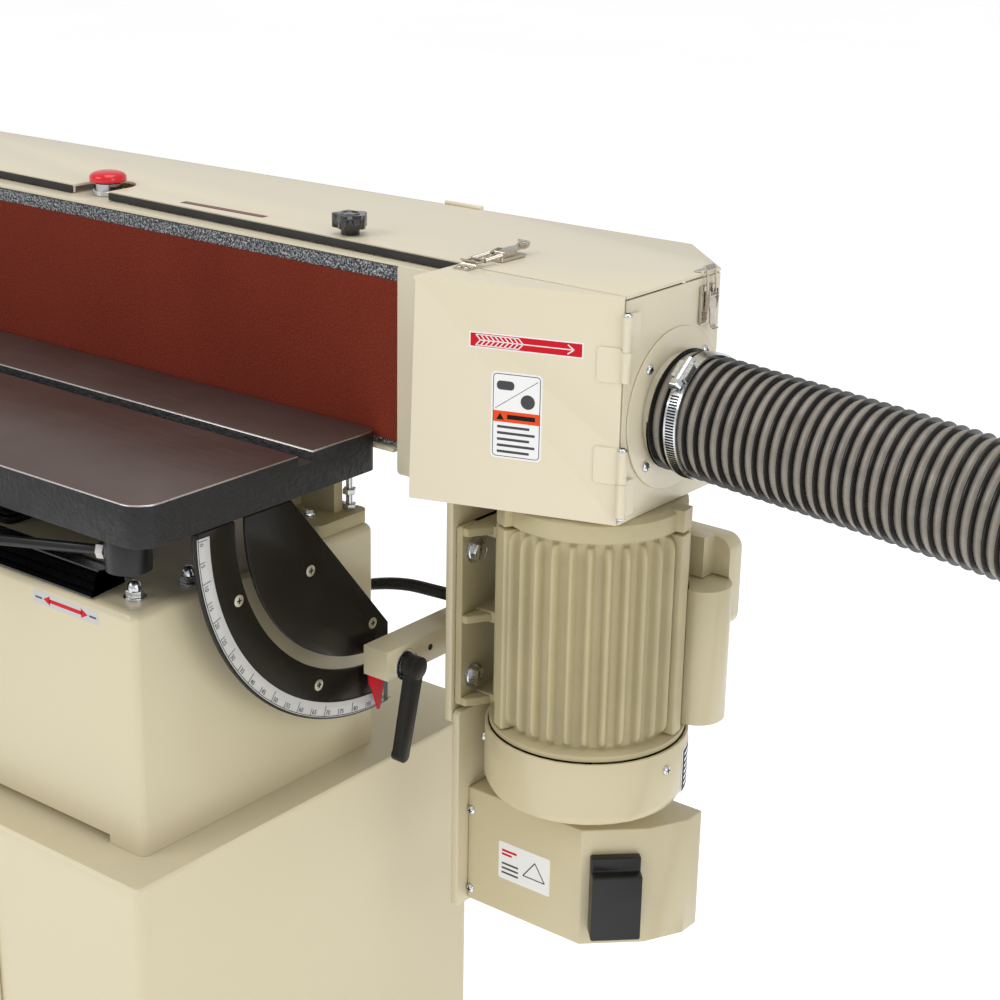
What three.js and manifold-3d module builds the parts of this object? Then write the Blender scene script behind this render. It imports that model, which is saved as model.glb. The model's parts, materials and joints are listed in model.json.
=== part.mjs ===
// A stationary edge sander: a long belt head that tilts on a pedestal, with a work table in front of it.
// Millimetres, +X along the belt to the drive end, +Y from the front to the back, +Z up.
// While the parts are made, the origin is the top right corner of the drive guard's front door.
// The last lines move everything so that the origin is the middle of the base, on the floor.
import * as THREE from "three";
import { mergeVertices } from "three/addons/utils/BufferGeometryUtils.js";
import Module from "manifold-3d";

const wasm = await Module();
wasm.setup();

// ---------------------------------------------------------------- driving dimensions
const GAP = 0.3; // between pieces that touch
const SHEET = 2.5; // thickness of the guards' sheet metal

const FLOOR_Z = -1130;
const FOOT_H = 18;
const STAND = { x0: -1022, x1: -278, y0: -253, y1: 248, top: -523, plate: 6, inset: 14 };
const BLOCK = { x0: -985, x1: -315, y0: -211, y1: 105, top: -285, r: 14, wall: 9 };

const TILT_Y = 68; // the head's tilt axis, parallel to X
const TILT_Z = -220;

const TABLE = { x0: -1271, x1: -271, y0: -237, y1: 60, top: -170, depth: 39, plate: 15, wall: 9, r: 24 };
const MITRE_SLOT = { y0: -47, y1: -28, depth: 10 };
const SADDLE = { x0: -900, x1: -322, y0: -205, y1: 40, thick: 11.7 };
const POST = { x: -640, y: -70, half: 45, length: 290 };
const BELLOWS = { half: 66, wall: 5, pleats: 5 };
const WHEEL = { x: -700, z: -410, r: 78, rim: 9 };
const LOCK_HUB = { x: -343, y: -188, r: 21, bottom: -254 };
const LOCK_ANGLE = THREE.MathUtils.degToRad(205);

const BELT_Y = 65; // outer face of the belt's front run
const BELT_T = 1.2;
const BELT_TOP = -26.6;
const BELT_BOTTOM = -179;
const BELT_LENGTH = 2743; // a 6 x 108 inch belt
const DRIVE_R = 64;
const IDLER_R = 60;
const DRIVE_X = -70;
const DRIVE_Y = BELT_Y + BELT_T + GAP + DRIVE_R;
const IDLER_Y = BELT_Y + BELT_T + GAP + IDLER_R;
const IDLER_X = idlerX();

const FRAME_X0 = IDLER_X - IDLER_R - 20; // the head's left end
const HEAD_BOTTOM = -203;
const CUT_X0 = -992; // between these the head's underside is cut away, to clear the pedestal when it tilts
const CUT_X1 = -308;
const CUT_BOTTOM = -181;
const SHELF = { top: -9.5, thick: 2.5, y0: 64, y1: 118 };
const LID = { thick: 2.5, flange: 9, frontX: -182, frontY: 73.5, frontSlope: 0.0239 };
const REAR = { x: -74, y: 281, slope: 0.027 }; // the head's rear line, which follows the belt's taper
const SIDE_Y = 213; // where the side panel turns into the chamfer
const DOOR = { xl: -180, yl: 4, xr: -0.5, yr: 63.83, lean: 1.9 };
const HINGE = { x: 4, y: 63.5, r: 4.2 };
const PORT = { y: 145.4, z: -113.8, bore: 46, neck: 49.5, flange: 73, end: 14 };
const HOSE_R = 55;

const MOTOR = { x: -70, y: DRIVE_Y, fins: 89.5, root: 80, finTop: -224, finBottom: -424, bell: 86 };
const FAN_COVER = { r: 96.5, top: -433, bottom: -502, wall: 3 };
const MOUNT = { x0: -191.5, x1: -183.5, y0: 66, y1: 190, bottom: -449 };
const SWITCH_PLATE = { x0: -183.2, x1: -175, top: -436, bottom: -648 };
const BAR = { x0: -268, x1: -238, y0: 36, y1: 206, z0: -411, z1: -381 };
const QUAD = { x0: -281, x1: -277, r: 239, slot0: 176.9, slot1: 190.1, scale0: 222, scale1: 236.6, top: -213, right: 82 };
const CLAMP = { y: TILT_Y - 4, z: -402 };
const ESTOP = { x: -688, y: 109, r: 19.3 };
const KNOB = { x: -336, y: 96 };

// ---------------------------------------------------------------- solids
function solid(geometry) {
  const bare = geometry.index ? geometry.toNonIndexed() : geometry.clone();
  bare.deleteAttribute("normal");
  bare.deleteAttribute("uv");
  const merged = mergeVertices(bare, 1e-4);
  return new wasm.Manifold(
    new wasm.Mesh({
      numProp: 3,
      vertProperties: merged.attributes.position.array,
      triVerts: new Uint32Array(merged.index.array),
    }),
  );
}

function geometryOf(manifold) {
  const mesh = manifold.getMesh();
  const geometry = new THREE.BufferGeometry();
  geometry.setAttribute("position", new THREE.BufferAttribute(new Float32Array(mesh.vertProperties), 3));
  geometry.setIndex(new THREE.BufferAttribute(new Uint32Array(mesh.triVerts), 1));
  return geometry;
}

const union = (first, ...rest) => rest.reduce((whole, piece) => whole.add(piece), first);
const cut = (first, ...rest) => rest.reduce((whole, piece) => whole.subtract(piece), first);

function box(x0, x1, y0, y1, z0, z1) {
  const geometry = new THREE.BoxGeometry(x1 - x0, y1 - y0, z1 - z0);
  return solid(geometry.translate((x0 + x1) / 2, (y0 + y1) / 2, (z0 + z1) / 2));
}

// Which world directions a flat outline's two axes and its thickness take.
const PLANES = {
  xy: (at) => new THREE.Matrix4().makeTranslation(0, 0, at),
  yz: (at) => new THREE.Matrix4().set(0, 0, 1, at, 1, 0, 0, 0, 0, 1, 0, 0, 0, 0, 0, 1),
  xz: (at) => new THREE.Matrix4().set(1, 0, 0, 0, 0, 0, -1, at, 0, 1, 0, 0, 0, 0, 0, 1),
};

// An outline's points, without those that lie on the one before them.
function cleaned(shape, curveSegments) {
  const points = shape.getPoints(curveSegments);
  return points.filter((p, i) => p.distanceTo(points[(i + points.length - 1) % points.length]) > 1e-3);
}

// An outline in one plane, from low to high along the third direction.
function slab(plane, shape, low, high, curveSegments = 8) {
  const flat = new THREE.Shape(cleaned(shape, curveSegments));
  const geometry = new THREE.ExtrudeGeometry(flat, { depth: high - low, bevelEnabled: false });
  return solid(geometry.applyMatrix4(PLANES[plane](plane === "xz" ? high : low)));
}

const outline = (points) => new THREE.Shape(points.map(([a, b]) => new THREE.Vector2(a, b)));

function roundedRect(a0, a1, b0, b1, r) {
  const shape = new THREE.Shape();
  shape.moveTo(a0 + r, b0);
  shape.lineTo(a1 - r, b0);
  shape.absarc(a1 - r, b0 + r, r, -Math.PI / 2, 0, false);
  shape.lineTo(a1, b1 - r);
  shape.absarc(a1 - r, b1 - r, r, 0, Math.PI / 2, false);
  shape.lineTo(a0 + r, b1);
  shape.absarc(a0 + r, b1 - r, r, Math.PI / 2, Math.PI, false);
  shape.lineTo(a0, b0 + r);
  shape.absarc(a0 + r, b0 + r, r, Math.PI, Math.PI * 1.5, false);
  return shape;
}

function disc(a, b, r) {
  const shape = new THREE.Shape();
  shape.absarc(a, b, r, 0, Math.PI * 2, false);
  return shape;
}

const cylinder = (plane, a, b, r, low, high, sides = 24) => slab(plane, disc(a, b, r), low, high, sides);

// A body turned about the vertical line through (x, y); profile points are [radius, z].
function turned(x, y, profile, segments = 24) {
  const points = profile.map(([r, z]) => new THREE.Vector2(r, z));
  const geometry = new THREE.LatheGeometry(points, segments);
  geometry.rotateX(Math.PI / 2);
  return solid(geometry.translate(x, y, 0));
}

function sweep(points, shape, steps) {
  const path = new THREE.CatmullRomCurve3(points.map((p) => new THREE.Vector3(...p)), false, "centripetal");
  return solid(new THREE.ExtrudeGeometry(shape, { extrudePath: path, steps, curveSegments: 3, bevelEnabled: false }));
}

// ---------------------------------------------------------------- shared outlines
// The drums' distance comes from the belt's length: two straight runs and an arc on each drum.
function idlerX() {
  const difference = DRIVE_R - IDLER_R;
  const around = Math.PI * (DRIVE_R + IDLER_R + 2 * BELT_T);
  return DRIVE_X - (BELT_LENGTH - around) / 2 + difference * 0.003;
}

const rearY = (x) => REAR.y - REAR.slope * (REAR.x - x);
const lidFrontY = (x) => LID.frontY + LID.frontSlope * (LID.frontX - x);

function beltOutline(offset) {
  const spread = DRIVE_X - IDLER_X;
  const lean = Math.atan2(DRIVE_R - IDLER_R, spread);
  const shape = new THREE.Shape();
  shape.absarc(DRIVE_X, DRIVE_Y, DRIVE_R + offset, -Math.PI / 2, Math.PI / 2 + 2 * lean, false);
  shape.absarc(IDLER_X, IDLER_Y, IDLER_R + offset, Math.PI / 2 + 2 * lean, Math.PI * 1.5, false);
  return shape;
}

// The head's plan: straight front, the drive end's side and chamfer, and the tapered rear.
function headPlan(x0, x1, front, inset) {
  const right = Math.min(x1, -inset);
  const points = [[x0, front], [right, front]];
  if (x1 > REAR.x) points.push([right, SIDE_Y - inset * 0.4], [REAR.x - inset * 0.4, rearY(REAR.x) - inset]);
  else points.push([right, rearY(right) - inset]);
  points.push([x0, rearY(x0) - inset]);
  return outline(points);
}

// ---------------------------------------------------------------- stand
function standCabinet() {
  const s = STAND;
  const bodyTop = s.top - s.plate;
  const bottom = FLOOR_Z + FOOT_H;
  const plate = slab("xy", roundedRect(s.x0, s.x1, s.y0, s.y1, 4), bodyTop, s.top, 3);
  const shell = cut(
    slab("xy", roundedRect(s.x0 + s.inset, s.x1 - s.inset, s.y0 + s.inset, s.y1 - s.inset, 10), bottom, bodyTop + 1, 3),
    slab("xy", roundedRect(s.x0 + s.inset + 4, s.x1 - s.inset - 4, s.y0 + s.inset + 4, s.y1 - s.inset - 4, 6),
      bottom - 1, bodyTop - 1, 3),
  );
  const opening = box(-892, -508, s.y0, s.y0 + s.inset + 10, -1052, -608);
  const pads = [s.x0 + 44, s.x1 - 44].flatMap((x) =>
    [s.y0 + 44, s.y1 - 44].map((y) => box(x - 30, x + 30, y - 30, y + 30, bottom, bottom + 6)),
  );
  return union(cut(union(plate, shell), opening), ...pads);
}

function standDoor() {
  const y1 = STAND.y0 + STAND.inset - GAP;
  return slab("xz", roundedRect(-900, -500, -1060, -600, 8), y1 - 3, y1, 3);
}

function standDoorKnob() {
  const y1 = STAND.y0 + STAND.inset - GAP - 3 - GAP;
  return union(
    slab("xz", disc(-528, -830, 9), y1 - 8, y1, 10),
    slab("xz", roundedRect(-550, -506, -836, -824, 5), y1 - 20, y1 - 7, 4),
  );
}

function foot(x, y) {
  return turned(x, y, [[0, FLOOR_Z], [24, FLOOR_Z], [24, FLOOR_Z + 5], [9, FLOOR_Z + 9],
    [9, FLOOR_Z + FOOT_H - GAP], [0, FLOOR_Z + FOOT_H - GAP]], 16);
}

function baseBlock() {
  const b = BLOCK;
  const bottom = STAND.top + GAP;
  const body = slab("xy", roundedRect(b.x0, b.x1, b.y0, b.y1, b.r), bottom, b.top - b.r * 0.4, 4);
  const cap = slab("xy", roundedRect(b.x0 + b.r * 0.4, b.x1 - b.r * 0.4, b.y0 + b.r * 0.4, b.y1 - b.r * 0.4, b.r * 0.7),
    bottom + 5, b.top, 4);
  const hollow = slab("xy", roundedRect(b.x0 + b.wall, b.x1 - b.wall, b.y0 + b.wall, b.y1 - b.wall, 6), bottom - 1,
    b.top - b.wall, 2);
  const square = (half, z0, z1) => box(POST.x - half, POST.x + half, POST.y - half, POST.y + half, z0, z1);
  const toe = 45;
  const recess = box(b.x0 + toe, b.x1 - toe, b.y0 - 4, b.y0 + b.wall + 4, bottom - 1, bottom + 8.5);
  const shell = cut(cut(union(body, cap), hollow), recess);
  return cut(union(shell, square(59, bottom, b.top - 2)), square(51, bottom - 1, b.top + 1));
}

// side is 1 for the drive end and -1 for the idler end; the bracket is mirrored about the pedestal's middle.
function trunnionBracket(side) {
  const middle = (BLOCK.x0 + BLOCK.x1) / 2;
  const at = (x) => (side > 0 ? x : 2 * middle - x);
  const span = (a, b) => [Math.min(at(a), at(b)), Math.max(at(a), at(b))];
  const base = BLOCK.top + GAP;
  const [fx0, fx1] = span(-400, -320);
  const [cx0, cx1] = span(-392, -380);
  const [ux0, ux1] = span(-392, -336);
  const flange = slab("xy", roundedRect(fx0, fx1, 30, 103, 9), base, base + 13, 4);
  const cheek = new THREE.Shape();
  cheek.moveTo(44, base + 12);
  cheek.lineTo(84, base + 12);
  cheek.lineTo(80, TILT_Z);
  cheek.absarc(TILT_Y, TILT_Z, 11.5, 0, Math.PI, false);
  const upright = box(ux0, ux1, 70, 82, base + 12, TILT_Z - 18);
  return cut(union(flange, slab("yz", cheek, cx0, cx1, 8), upright), cylinder("yz", TILT_Y, TILT_Z, 6.4, cx0 - 1, cx1 + 1, 20));
}

// ---------------------------------------------------------------- tilt scale
function ringSector(r0, r1, from, to) {
  const shape = new THREE.Shape();
  shape.absarc(TILT_Y, TILT_Z, r1, from, to, false);
  shape.absarc(TILT_Y, TILT_Z, r0, to, from, true);
  return shape;
}

const below = (degrees) => THREE.MathUtils.degToRad(270 - degrees); // 0 straight down, 90 to the front

function tiltQuadrant() {
  const q = QUAD;
  const plate = new THREE.Shape();
  plate.moveTo(q.right, -374);
  plate.lineTo(64, -352);
  plate.lineTo(-50, q.top);
  const start = Math.PI - Math.asin((q.top - TILT_Z) / q.r);
  plate.absarc(TILT_Y, TILT_Z, q.r, start, below(-3.3), false);
  const slot = slab("yz", ringSector(q.slot0, q.slot1, below(96), below(-1.6)), q.x0 - 1, q.x1 + 1, 24);
  const face = cut(slab("yz", plate, q.x0, q.x1, 28), slot);
  const spacers = [[-120, -289], [-27, -288], [59, -368], [-18, -407]].map(([y, z]) =>
    cylinder("yz", y, z, 8, BLOCK.x1 + GAP, q.x0 + 1, 6),
  );
  return union(face, ...spacers);
}

function angleScale() {
  const q = QUAD;
  return slab("yz", ringSector(q.scale0, q.scale1, below(90.6), below(-1.5)), q.x1 + 0.2, q.x1 + 1, 24);
}

// ---------------------------------------------------------------- table
function tableTop() {
  const t = TABLE;
  const bottom = t.top - t.depth;
  const shape = new THREE.Shape();
  shape.moveTo(t.x0 + t.r, t.y0);
  shape.lineTo(t.x1 - t.r, t.y0);
  shape.absarc(t.x1 - t.r, t.y0 + t.r, t.r, -Math.PI / 2, 0, false);
  shape.lineTo(t.x1, t.y1 - 10);
  shape.absarc(t.x1 - 10, t.y1 - 10, 10, 0, Math.PI / 2, false);
  shape.lineTo(t.x0 + 10, t.y1);
  shape.absarc(t.x0 + 10, t.y1 - 10, 10, Math.PI / 2, Math.PI, false);
  shape.lineTo(t.x0, t.y0 + t.r);
  shape.absarc(t.x0 + t.r, t.y0 + t.r, t.r, Math.PI, Math.PI * 1.5, false);
  const bays = 4;
  const pitch = (t.x1 - t.x0 - t.wall) / bays;
  const pockets = Array.from({ length: bays }, (_, i) =>
    slab("xy", roundedRect(t.x0 + t.wall + i * pitch, t.x0 + (i + 1) * pitch, t.y0 + t.wall, t.y1 - t.wall, 14),
      bottom - 1, t.top - t.plate, 3),
  );
  const slot = box(t.x0 - 1, t.x1 + 1, MITRE_SLOT.y0, MITRE_SLOT.y1, t.top - MITRE_SLOT.depth, t.top + 1);
  return cut(slab("xy", shape, bottom, t.top, 5), ...pockets, slot);
}

function tableSaddle() {
  const s = SADDLE;
  const top = TABLE.top - TABLE.depth - GAP;
  return slab("xy", roundedRect(s.x0, s.x1, s.y0, s.y1, 16), top - s.thick, top, 4);
}

function liftPost() {
  const top = TABLE.top - TABLE.depth - GAP - SADDLE.thick - GAP;
  return box(POST.x - POST.half, POST.x + POST.half, POST.y - POST.half, POST.y + POST.half, top - POST.length, top);
}

function liftBellows() {
  const top = TABLE.top - TABLE.depth - SADDLE.thick - 3 * GAP;
  const bottom = BLOCK.top + GAP;
  const step = (top - bottom) / BELLOWS.pleats;
  const b = BELLOWS;
  const square = (r) => roundedRect(POST.x - r, POST.x + r, POST.y - r, POST.y + r, 8);
  const leaves = Array.from({ length: b.pleats }, (_, i) => {
    const low = bottom + i * step;
    return union(
      slab("xy", square(b.half), low, low + step * 0.55, 2),
      slab("xy", square(b.half - 7), low + step * 0.5, Math.min(low + step + 0.5, top), 2),
    );
  });
  return cut(union(...leaves), slab("xy", square(b.half - 7 - b.wall), bottom - 1, top + 1, 2));
}

function tableLockLever() {
  const h = LOCK_HUB;
  const top = TABLE.top - TABLE.depth - SADDLE.thick - 2 * GAP;
  const hub = cylinder("xy", h.x, h.y, h.r, h.bottom, top, 16);
  const dir = [Math.cos(LOCK_ANGLE), Math.sin(LOCK_ANGLE)];
  const z = -240;
  const rodLength = 118;
  const gripLength = 78;
  const rod = new THREE.CylinderGeometry(5, 5, rodLength, 12);
  const grip = new THREE.CylinderGeometry(10, 8, gripLength, 16);
  const place = (geometry, along) =>
    solid(geometry.rotateZ(Math.PI / 2 + LOCK_ANGLE + Math.PI).translate(h.x + dir[0] * along, h.y + dir[1] * along, z));
  return union(hub, place(rod, h.r - 4 + rodLength / 2), place(grip, h.r - 6 + rodLength + gripLength / 2));
}

function handwheel() {
  const w = WHEEL;
  const face = BLOCK.y0 - GAP;
  const ring = solid(new THREE.TorusGeometry(w.r - w.rim, w.rim, 10, 32).rotateX(Math.PI / 2).translate(w.x, face - 40, w.z));
  const hub = cylinder("xz", w.x, w.z, 17, face - 52, face - 24, 16);
  const shaft = cylinder("xz", w.x, w.z, 9, face - 30, face, 12);
  const spokes = [90, 210, 330].map((degrees) => {
    const a = THREE.MathUtils.degToRad(degrees);
    const length = w.r - w.rim - 8;
    const spoke = new THREE.BoxGeometry(length, 8, 14).translate(length / 2 + 8, 0, 0).rotateY(-a);
    return solid(spoke.translate(w.x, face - 40, w.z));
  });
  return union(ring, hub, shaft, ...spokes);
}

function wheelHandle() {
  const w = WHEEL;
  const front = BLOCK.y0 - GAP - 40 - w.rim - GAP;
  return cylinder("xz", w.x, w.z - (w.r - w.rim), 9.5, front - 58, front, 14);
}

// ---------------------------------------------------------------- head
function headFrame() {
  const front = BELT_Y + 5;
  const wallTop = -6;
  const end = FRAME_X0;
  const endPart = (x0, x1, z0) =>
    cut(
      slab("xy", headPlan(x0, x1, front - 4, SHEET + 1.2), z0, wallTop, 3),
      slab("xy", headPlan(x0 + SHEET, x1 - SHEET, front - 5, 2 * SHEET + 1.2), z0 + SHEET, wallTop + 1, 3),
    );
  const rearWall = (x0, x1, z0) =>
    slab("xy", outline([[x0, rearY(x0) - SHEET * 2 - 1.2], [x1, rearY(x1) - SHEET * 2 - 1.2],
      [x1, rearY(x1) - SHEET - 1.2], [x0, rearY(x0) - SHEET - 1.2]]), z0, wallTop, 2);
  const middleWall = rearWall(end, REAR.x - 6, CUT_BOTTOM);
  const leftPan = slab("xy", headPlan(end, CUT_X0, front - 8, SHEET + 1.2), HEAD_BOTTOM, HEAD_BOTTOM + SHEET, 2);
  const rightPan = slab("xy", headPlan(CUT_X1, 0, front - 4, SHEET + 1.2), HEAD_BOTTOM, HEAD_BOTTOM + SHEET, 2);
  const leftRear = rearWall(end, CUT_X0, HEAD_BOTTOM);
  const rightRear = rearWall(CUT_X1, REAR.x - 6, HEAD_BOTTOM);
  const leftEnd = box(end, end + SHEET, BELT_Y - 1.2, rearY(end) - SHEET * 1.5, HEAD_BOTTOM, wallTop);
  const steps = [CUT_X0 - SHEET, CUT_X1].map((x) =>
    box(x, x + SHEET, front, rearY(x) - SHEET * 1.5, HEAD_BOTTOM, CUT_BOTTOM - 1),
  );
  const platen = box(-1170, -150, front, front + 6, HEAD_BOTTOM, SHELF.top - 1);
  const shelf = slab("xy", outline([[end, SHELF.y0], [-186, SHELF.y0], [-186, 92], [-560, 104], [-600, 142], [-780, 142],
    [-820, SHELF.y1], [end, SHELF.y1]]), SHELF.top - SHELF.thick, SHELF.top, 2);
  const lip = box(-1174, -253, BELT_Y - 3, front + 1, HEAD_BOTTOM, -186);
  const straps = [-1000, -840, -420, -230].map((x) =>
    box(x - 18, x + 18, front + 4, rearY(x) - SHEET * 1.5, -22, SHELF.top - SHELF.thick + 0.5),
  );
  const middle = (BLOCK.x0 + BLOCK.x1) / 2;
  const ears = [1, -1].map((side) => {
    const xs = [-378, -370].map((x) => (side > 0 ? x : 2 * middle - x)).sort((a, b) => a - b);
    const pin = [-394, -374].map((x) => (side > 0 ? x : 2 * middle - x)).sort((a, b) => a - b);
    const ear = new THREE.Shape();
    ear.moveTo(BELT_Y - 2, HEAD_BOTTOM + 8);
    ear.lineTo(BELT_Y - 2, HEAD_BOTTOM - 4);
    ear.lineTo(TILT_Y - 7.6, TILT_Z);
    ear.absarc(TILT_Y, TILT_Z, 7.6, Math.PI, Math.PI * 2, false);
    ear.lineTo(86, HEAD_BOTTOM);
    ear.lineTo(86, HEAD_BOTTOM + 8);
    return union(slab("yz", ear, xs[0], xs[1], 8), cylinder("yz", TILT_Y, TILT_Z, 5.9, pin[0], pin[1], 16));
  });
  const earWeb = [1, -1].map((side) => {
    const xs = [-384, -364].map((x) => (side > 0 ? x : 2 * middle - x)).sort((a, b) => a - b);
    return box(xs[0], xs[1], front - 3, 86, HEAD_BOTTOM, HEAD_BOTTOM + 8);
  });
  const shaftHole = cylinder("xy", DRIVE_X, DRIVE_Y, 24, HEAD_BOTTOM - 1, HEAD_BOTTOM + 6, 20);
  const leverHole = cylinder("xy", -1120, 150, 8, HEAD_BOTTOM - 1, HEAD_BOTTOM + 6, 12);
  const raisedLip = box(CUT_X1 - 1, -249.5, BELT_Y - 6, BELT_Y + 41, HEAD_BOTTOM - 1, HEAD_BOTTOM + 13.3);
  return cut(
    union(platen, shelf, lip, middleWall, leftPan, rightPan, leftRear, rightRear, leftEnd, ...steps, ...straps, ...ears,
      ...earWeb),
    shaftHole, leverHole, raisedLip,
  );
}

function sidePanel() {
  const x1 = 0;
  const x0 = -SHEET;
  const z0 = HEAD_BOTTOM;
  const z1 = -4;
  const chamferY = rearY(REAR.x);
  const sheet = slab("xy", outline([[x0, 66.8], [x1, 66.8], [x1, SIDE_Y], [REAR.x, chamferY], [REAR.x - 4, chamferY],
    [REAR.x - 4, chamferY - SHEET], [REAR.x - 1, chamferY - SHEET - 0.6], [x0, SIDE_Y - 1]]), z0, z1, 2);
  const latchBase = box(x1 - 1, x1 + 3, 180, 201, -46, -14);
  return cut(union(sheet, latchBase), cylinder("yz", PORT.y, PORT.z, PORT.bore + 0.5, x0 - 2, x1 + 2, 28));
}

function dustPort() {
  const flange = cylinder("yz", PORT.y, PORT.z, PORT.flange, GAP, GAP + 1.8, 32);
  const neck = cylinder("yz", PORT.y, PORT.z, PORT.neck, GAP, PORT.end, 32);
  return cut(union(flange, neck), cylinder("yz", PORT.y, PORT.z, PORT.bore, -1, PORT.end + 1, 32));
}

function beltPost() {
  return slab("xz", roundedRect(-247.3, -182, -209, SHELF.top - 0.1, 4), 60.4, 62.9, 4);
}

function idlerGuard() {
  const y0 = BELT_Y - 3.6;
  return slab("xz", roundedRect(FRAME_X0 + GAP, -1175, -184, SHELF.top - SHELF.thick - GAP, 6), y0, y0 + 2, 3);
}

function sandingBelt() {
  const inside = slab("xy", beltOutline(GAP), BELT_BOTTOM - 1, BELT_TOP + 1, 28);
  return cut(slab("xy", beltOutline(GAP + BELT_T), BELT_BOTTOM, BELT_TOP, 28), inside);
}

function graphitePad() {
  return box(-1160, -158, BELT_Y + BELT_T + GAP * 2, BELT_Y + 4.7, -184, -13.5);
}

function drum(x, y, r, bore) {
  const body = turned(x, y, [[bore, -180], [r, -180], [r, -25.5], [bore, -25.5], [bore, -32], [bore + 14, -40],
    [bore + 14, -166], [bore, -174], [bore, -180]], 36);
  return body;
}

function driveDrum() {
  const body = turned(DRIVE_X, DRIVE_Y, [[0, -181], [DRIVE_R, -181], [DRIVE_R, -25], [DRIVE_R - 8, -25],
    [DRIVE_R - 10, -40], [22, -44], [22, -32], [0, -32]], 36);
  return union(body, cylinder("xy", DRIVE_X, DRIVE_Y, 14, -462, -180, 16));
}

function motorFan() {
  const hub = turned(MOTOR.x, MOTOR.y, [[14.4, -462], [24, -462], [24, -440], [14.4, -440], [14.4, -462]], 20);
  const blades = Array.from({ length: 7 }, (_, i) => {
    const blade = new THREE.BoxGeometry(58, 3, 20).translate(50, 0, -452).rotateZ((i * Math.PI * 2) / 7);
    return solid(blade.translate(MOTOR.x, MOTOR.y, 0));
  });
  return union(hub, ...blades);
}

function idlerBracket() {
  const axle = cylinder("xy", IDLER_X, IDLER_Y, 7.5, -194, -16, 16);
  const armY0 = IDLER_Y - 16;
  const armY1 = IDLER_Y + 16;
  const lower = box(IDLER_X - 14, -1120, armY0, armY1, -196, -186);
  const upper = box(IDLER_X - 14, -1120, armY0, armY1, -22.5, -14.5);
  const column = box(-1140, -1120, armY0, armY1, -196, -14.5);
  return union(axle, lower, upper, column);
}

function tensionLever() {
  const hub = cylinder("xy", -1120, 150, 14, HEAD_BOTTOM - 24, HEAD_BOTTOM - GAP, 14);
  const stem = cylinder("xy", -1120, 150, 6, HEAD_BOTTOM - 20, HEAD_BOTTOM + 5, 12);
  const arm = box(-1262, -1120, 144, 156, HEAD_BOTTOM - 20, HEAD_BOTTOM - 12);
  const grip = solid(new THREE.SphereGeometry(15, 14, 10).translate(-1270, 150, HEAD_BOTTOM - 16));
  return union(hub, stem, arm, grip);
}

function trackingKnob() {
  const x1 = FRAME_X0 - GAP;
  const stem = cylinder("yz", 150, -105, 6, x1 - 14, x1, 12);
  return union(stem, cylinder("yz", 150, -105, 20, x1 - 32, x1 - 12, 8));
}

function eStopCollar() {
  const base = SHELF.top + GAP;
  return turned(ESTOP.x, ESTOP.y, [[0, base], [16.4, base], [16.4, -4.5], [14.6, -4.5], [14.6, 4], [9, 4], [9, base + 1.2],
    [0, base + 1.2]], 24);
}

function eStopButton() {
  return turned(ESTOP.x, ESTOP.y, [[0, -3.4], [8.6, -3.4], [8.6, 9], [15.3, 9], [15.3, 4.4], [ESTOP.r - 0.5, 4.6],
    [ESTOP.r + 0.1, 9.6], [16, 13.4], [8, 15.8], [0, 16.3]], 24);
}

function lidHinge(x) {
  const y = rearY(x) + 2.6;
  const barrel = new THREE.CylinderGeometry(2.6, 2.6, 46, 12).rotateZ(-Math.PI / 2).rotateZ(Math.atan(REAR.slope));
  const leaf = box(x - 23, x + 23, y - 4.8, y - 3.2, -34, -3);
  const web = box(x - 23, x + 23, y - 4.8, y + 1.6, -5, -1.6);
  return union(solid(barrel.translate(x, y + 0.6, 0.4)), leaf, web);
}

// ---------------------------------------------------------------- lid
function lid() {
  const x0 = FRAME_X0 + 1;
  const rear = (x) => rearY(x) - 0.6;
  const plate = new THREE.Shape();
  plate.moveTo(x0, lidFrontY(x0));
  plate.lineTo(-716, lidFrontY(-716));
  plate.lineTo(-716, 110);
  plate.absarc(ESTOP.x, 110, 28, Math.PI, Math.PI * 0.08, true);
  plate.lineTo(-660, lidFrontY(-660));
  plate.lineTo(LID.frontX, LID.frontY);
  plate.lineTo(LID.frontX, 66.7);
  plate.lineTo(0, 66.7);
  plate.lineTo(0, SIDE_Y);
  plate.lineTo(REAR.x, rear(REAR.x));
  plate.lineTo(x0, rear(x0));
  const sheet = slab("xy", plate, -LID.thick, 0, 8);
  const frontFlange = (a, b) =>
    slab("xy", outline([[a, lidFrontY(a)], [b, lidFrontY(b)], [b, lidFrontY(b) + 2], [a, lidFrontY(a) + 2]]),
      -LID.flange + 0.6, -1, 2);
  const pocket = [-1150, -345].map((x) => box(x - 24, x + 24, rearY(x) - 3.4, rearY(x) + 6, -4, 3));
  const latchBase = box(-173, -157, 96, 128, -1, 3);
  const catchTab = box(-1, 1.6, 182, 199, -2.4, 2);
  return union(cut(sheet, ...pocket), frontFlange(x0 + 3, -716), frontFlange(-660, LID.frontX), latchBase, catchTab);
}

function lidSeal(a, b) {
  const at = (x, inset) => [x, lidFrontY(x) - GAP - inset];
  return slab("xy", outline([at(a, 1.6), at(b, 1.6), at(b, 0), at(a, 0)]), -LID.flange + 0.6, -1.2, 2);
}

function lidKnob() {
  const lobes = 5;
  const shape = new THREE.Shape();
  for (let i = 0; i < 40; i++) {
    const a = (i / 40) * Math.PI * 2;
    const r = 15.6 + 1.9 * Math.cos(lobes * a);
    const p = [KNOB.x + r * Math.cos(a), KNOB.y + r * Math.sin(a)];
    if (i) shape.lineTo(...p);
    else shape.moveTo(...p);
  }
  return union(slab("xy", shape, 7, 20, 1), cylinder("xy", KNOB.x, KNOB.y, 9, GAP, 8, 16));
}

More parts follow.
